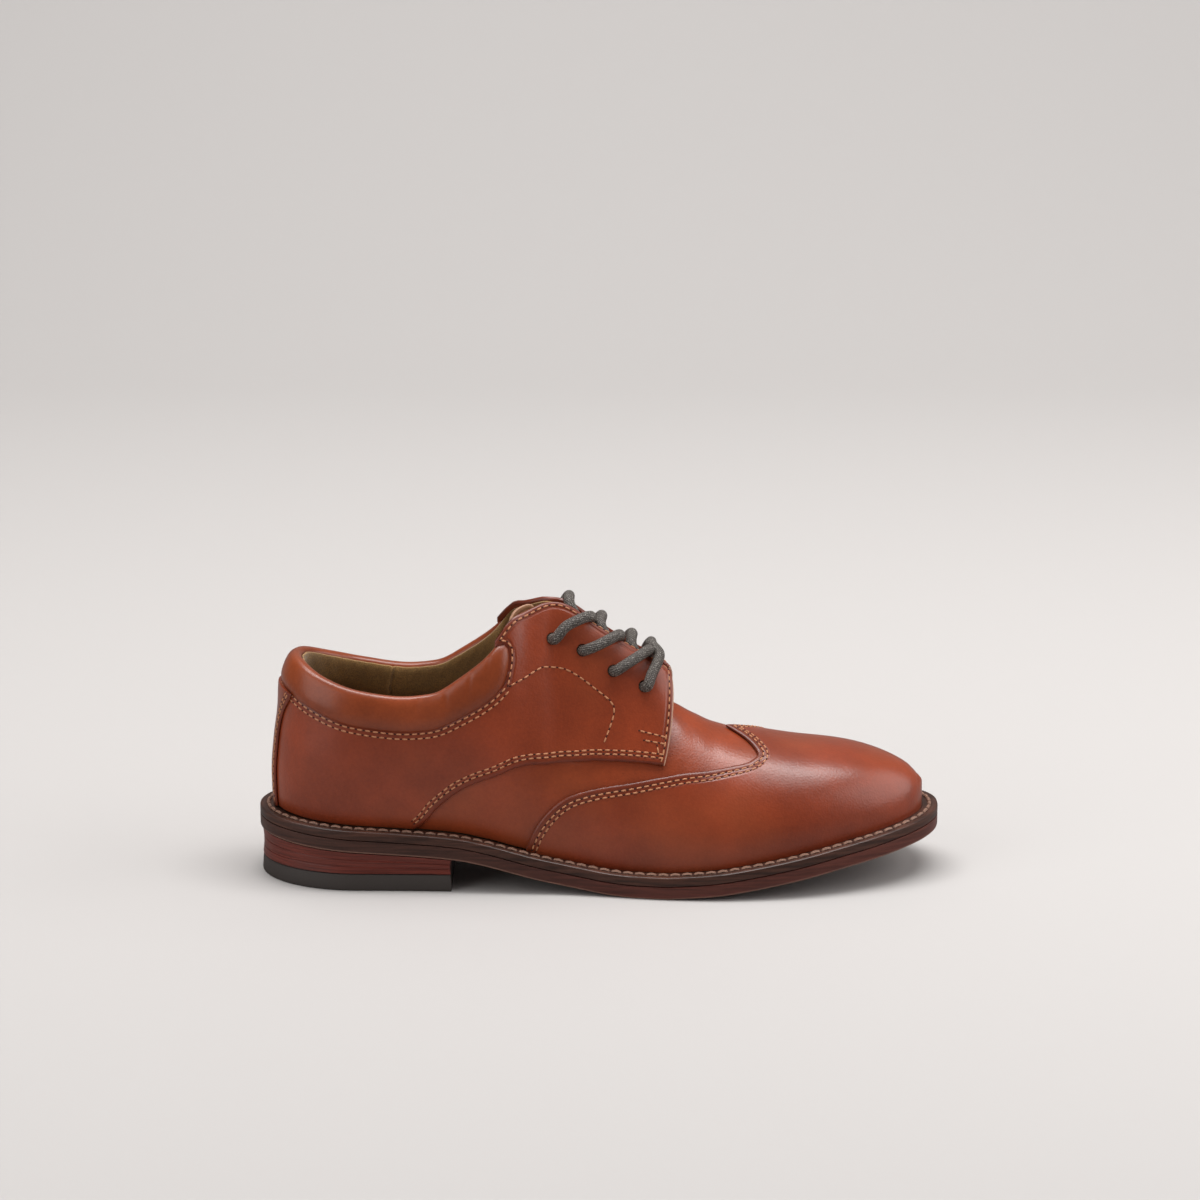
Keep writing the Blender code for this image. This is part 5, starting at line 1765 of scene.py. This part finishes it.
    def upper_seams(self) -> None:
        """Double rows along the overlays, the collar seam and the quarter's own seam."""
        cap, quarters, strip = (self.tree_of(name) for name in ("cap", "quarters", "strip"))
        self.rows(cap, self.leathers.wing_line(400), self.leathers.cap_rows)
        for side in Side:
            sign = side.value
            lines = self.leathers.quarter_lines(sign)
            flange = np.concatenate([lines["back"], lines["top"], lines["front"][::-1]])
            self.rows(quarters, lines["low"][HIDDEN:], self.leathers.quarter_rows)
            self.rows(quarters, flange, self.leathers.flange_rows)
            for spots in TACKS:
                self.sew(quarters, self.drawn(spots, 12, sign))
            self.rows(quarters, lines["seam"], self.leathers.collar_rows)
            self.sew(quarters, self.drawn(DECOR_SEAM, 8, sign))
        row = np.linspace(0.03, 0.77, 200)
        station = np.full(200, LAST["heel_round"] / LAST["length"] * 0.12)
        for side in Side:
            end = np.full(200, side.value)
            edge = [self.leathers.strip_point(end, row),
                    self.last.normal(station, row, end, "quarter")]
            self.rows(strip, np.concatenate(edge, axis=1), self.leathers.strip_rows)

    def rows(self, tree: BVHTree, edge: np.ndarray, margins: tuple[float, ...]) -> None:
        """Sew one row beside an edge for each margin, in millimetres."""
        for margin in margins:
            self.sew(tree, self.inside(tree, edge, margin * MM))

    def drawn(self, spots: tuple, steps: int, sign: float) -> np.ndarray:
        """Curve on the quarter through spots given as station and row."""
        way = smooth_line(np.array(spots), steps)
        return self.last.quarter(way[:, 0], way[:, 1], sign)

    def welt_seam(self) -> list:
        """Bold stitches along the groove of the welt."""
        lift = LAST["outsole_thickness"] + LAST["seam_gap"] + 3.14 * MM
        line = self.last.sole_loop(self.welt_offset, lift, 150)
        points = resample(np.concatenate([line, line[:1]]), self.welt_pitch)
        normal = np.zeros_like(points)
        normal[:, 2] = 1.0
        kept, self.threads = self.threads, []
        self.stitches(points, normal, self.welt_radius, 1.0, -0.25)
        welt, self.threads = self.threads, kept
        return welt

    def build(self) -> None:
        """Sew everything."""
        self.upper_seams()
        welt = self.welt_seam()
        self.piece("thread_upper", "tan_leather", "thread_tan", self.threads)
        self.piece("thread_welt", "welt_brown", "thread_welt", welt)
        self.piece("pinholes", "tan_leather", "pinhole_shade", self.pits)


@dataclass
class Studio:
    """Pale sweep, soft lamps and the camera.

    Attributes:
        distance: from the camera to its aim.
        elevation: height of the view, in degrees.
        aim: the point that the camera looks at.
        frame_width: what the picture spans at the aim.
        flagged: how bright the paper is in the gloss, as if black cards stood beside it.
        paper: colour of the sweep.
        room: colour of the light from all round.
        room_light: its strength.
    """

    distance: float = 1.4
    elevation: float = 14.5
    aim: tuple[float, float, float] = (0.0892, 0.0245, 0.0949)
    frame_width: float = 0.44448
    flagged: float = 0.35
    paper: Colour = (0.56, 0.537, 0.523)
    room: Colour = (1.0, 0.97, 0.96)
    room_light: float = 0.10

    def sweep(self) -> None:
        """Floor that curves up behind the shoe on a quarter circle."""
        radius = 0.7
        turn = np.linspace(0.0, math.pi / 2, 24)
        y = np.concatenate([[-0.66, 0.9], 0.9 + radius * np.sin(turn[1:]), [0.9 + radius]])
        z = np.concatenate([[0.0, 0.0], radius * (1 - np.cos(turn[1:])), [4.0]])
        x = np.linspace(-5.0, 5.0, 3)
        grid = np.stack(np.broadcast_arrays(x[:, None], y[None, :], z[None, :]), -1)
        quads = cells(np.arange(grid[..., 0].size).reshape(grid.shape[:2]))
        mesh = bpy.data.meshes.new("sweep")
        mesh.from_pydata(grid.reshape(-1, 3).tolist(), [], quads.reshape(-1, 4).tolist())
        mesh.shade_smooth()
        item = linked("sweep", mesh)
        material, tree, shader = Finish("paper", self.paper, 0.9).start()
        shader.inputs["Specular IOR Level"].default_value = 0.2
        mirrored = tree.node("ShaderNodeLightPath").outputs["Is Glossy Ray"]
        shade = tree.mix(mirrored, rgba(self.paper), rgba(self.paper, self.flagged))
        tree.tree.links.new(shade, shader.inputs["Base Color"])
        mesh.materials.append(material)

    def aimed(self, item: bpy.types.Object, place: Vector, target: Vector) -> None:
        """Put a lamp or the camera in its place, facing a target."""
        item.location = place
        item.rotation_euler = (target - place).to_track_quat("-Z", "Y").to_euler()

    def lamp(self, name: str, place: tuple, target: tuple, size: tuple, power: float) -> None:
        """Rectangular soft lamp that faces a target."""
        data = bpy.data.lights.new(name, "AREA")
        data.shape, data.size, data.size_y, data.energy = "RECTANGLE", size[0], size[1], power
        self.aimed(linked(name, data), Vector(place), Vector(target))

    def camera(self) -> None:
        """Camera at the photograph's angle, its lens from the width of the frame."""
        rise = math.radians(self.elevation)
        aim = Vector(self.aim)
        place = aim + Vector((0.0, -math.cos(rise), math.sin(rise))) * self.distance
        data = bpy.data.cameras.new("camera")
        data.sensor_width = 36.0
        data.lens = data.sensor_width * self.distance / self.frame_width
        item = linked("camera", data)
        self.aimed(item, place, aim)
        bpy.context.scene.camera = item

    def build(self) -> None:
        """Set the stage."""
        self.camera()
        self.sweep()
        bpy.context.scene.view_settings.view_transform = "Standard"
        world = bpy.data.worlds.new("room")
        world.use_nodes = True
        backdrop = world.node_tree.nodes["Background"]
        backdrop.inputs[0].default_value = rgba(self.room)
        backdrop.inputs[1].default_value = self.room_light
        bpy.context.scene.world = world
        for lamp in LAMPS:
            self.lamp(*lamp)


def main() -> None:
    """Load the frame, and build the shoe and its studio."""
    logging.basicConfig(level=logging.INFO, format="%(message)s")
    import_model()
    make_groups()
    finishes = Finishes()
    finishes.build()
    last = Last()
    leathers = Leathers(last, finishes)
    leathers.build()
    Inside(last, finishes).build()
    Bottom(last, finishes).build()
    Lacing(leathers, finishes).build()
    Sewing(leathers, finishes, last).build()
    Studio().build()


if __name__ == "__main__":
    main()
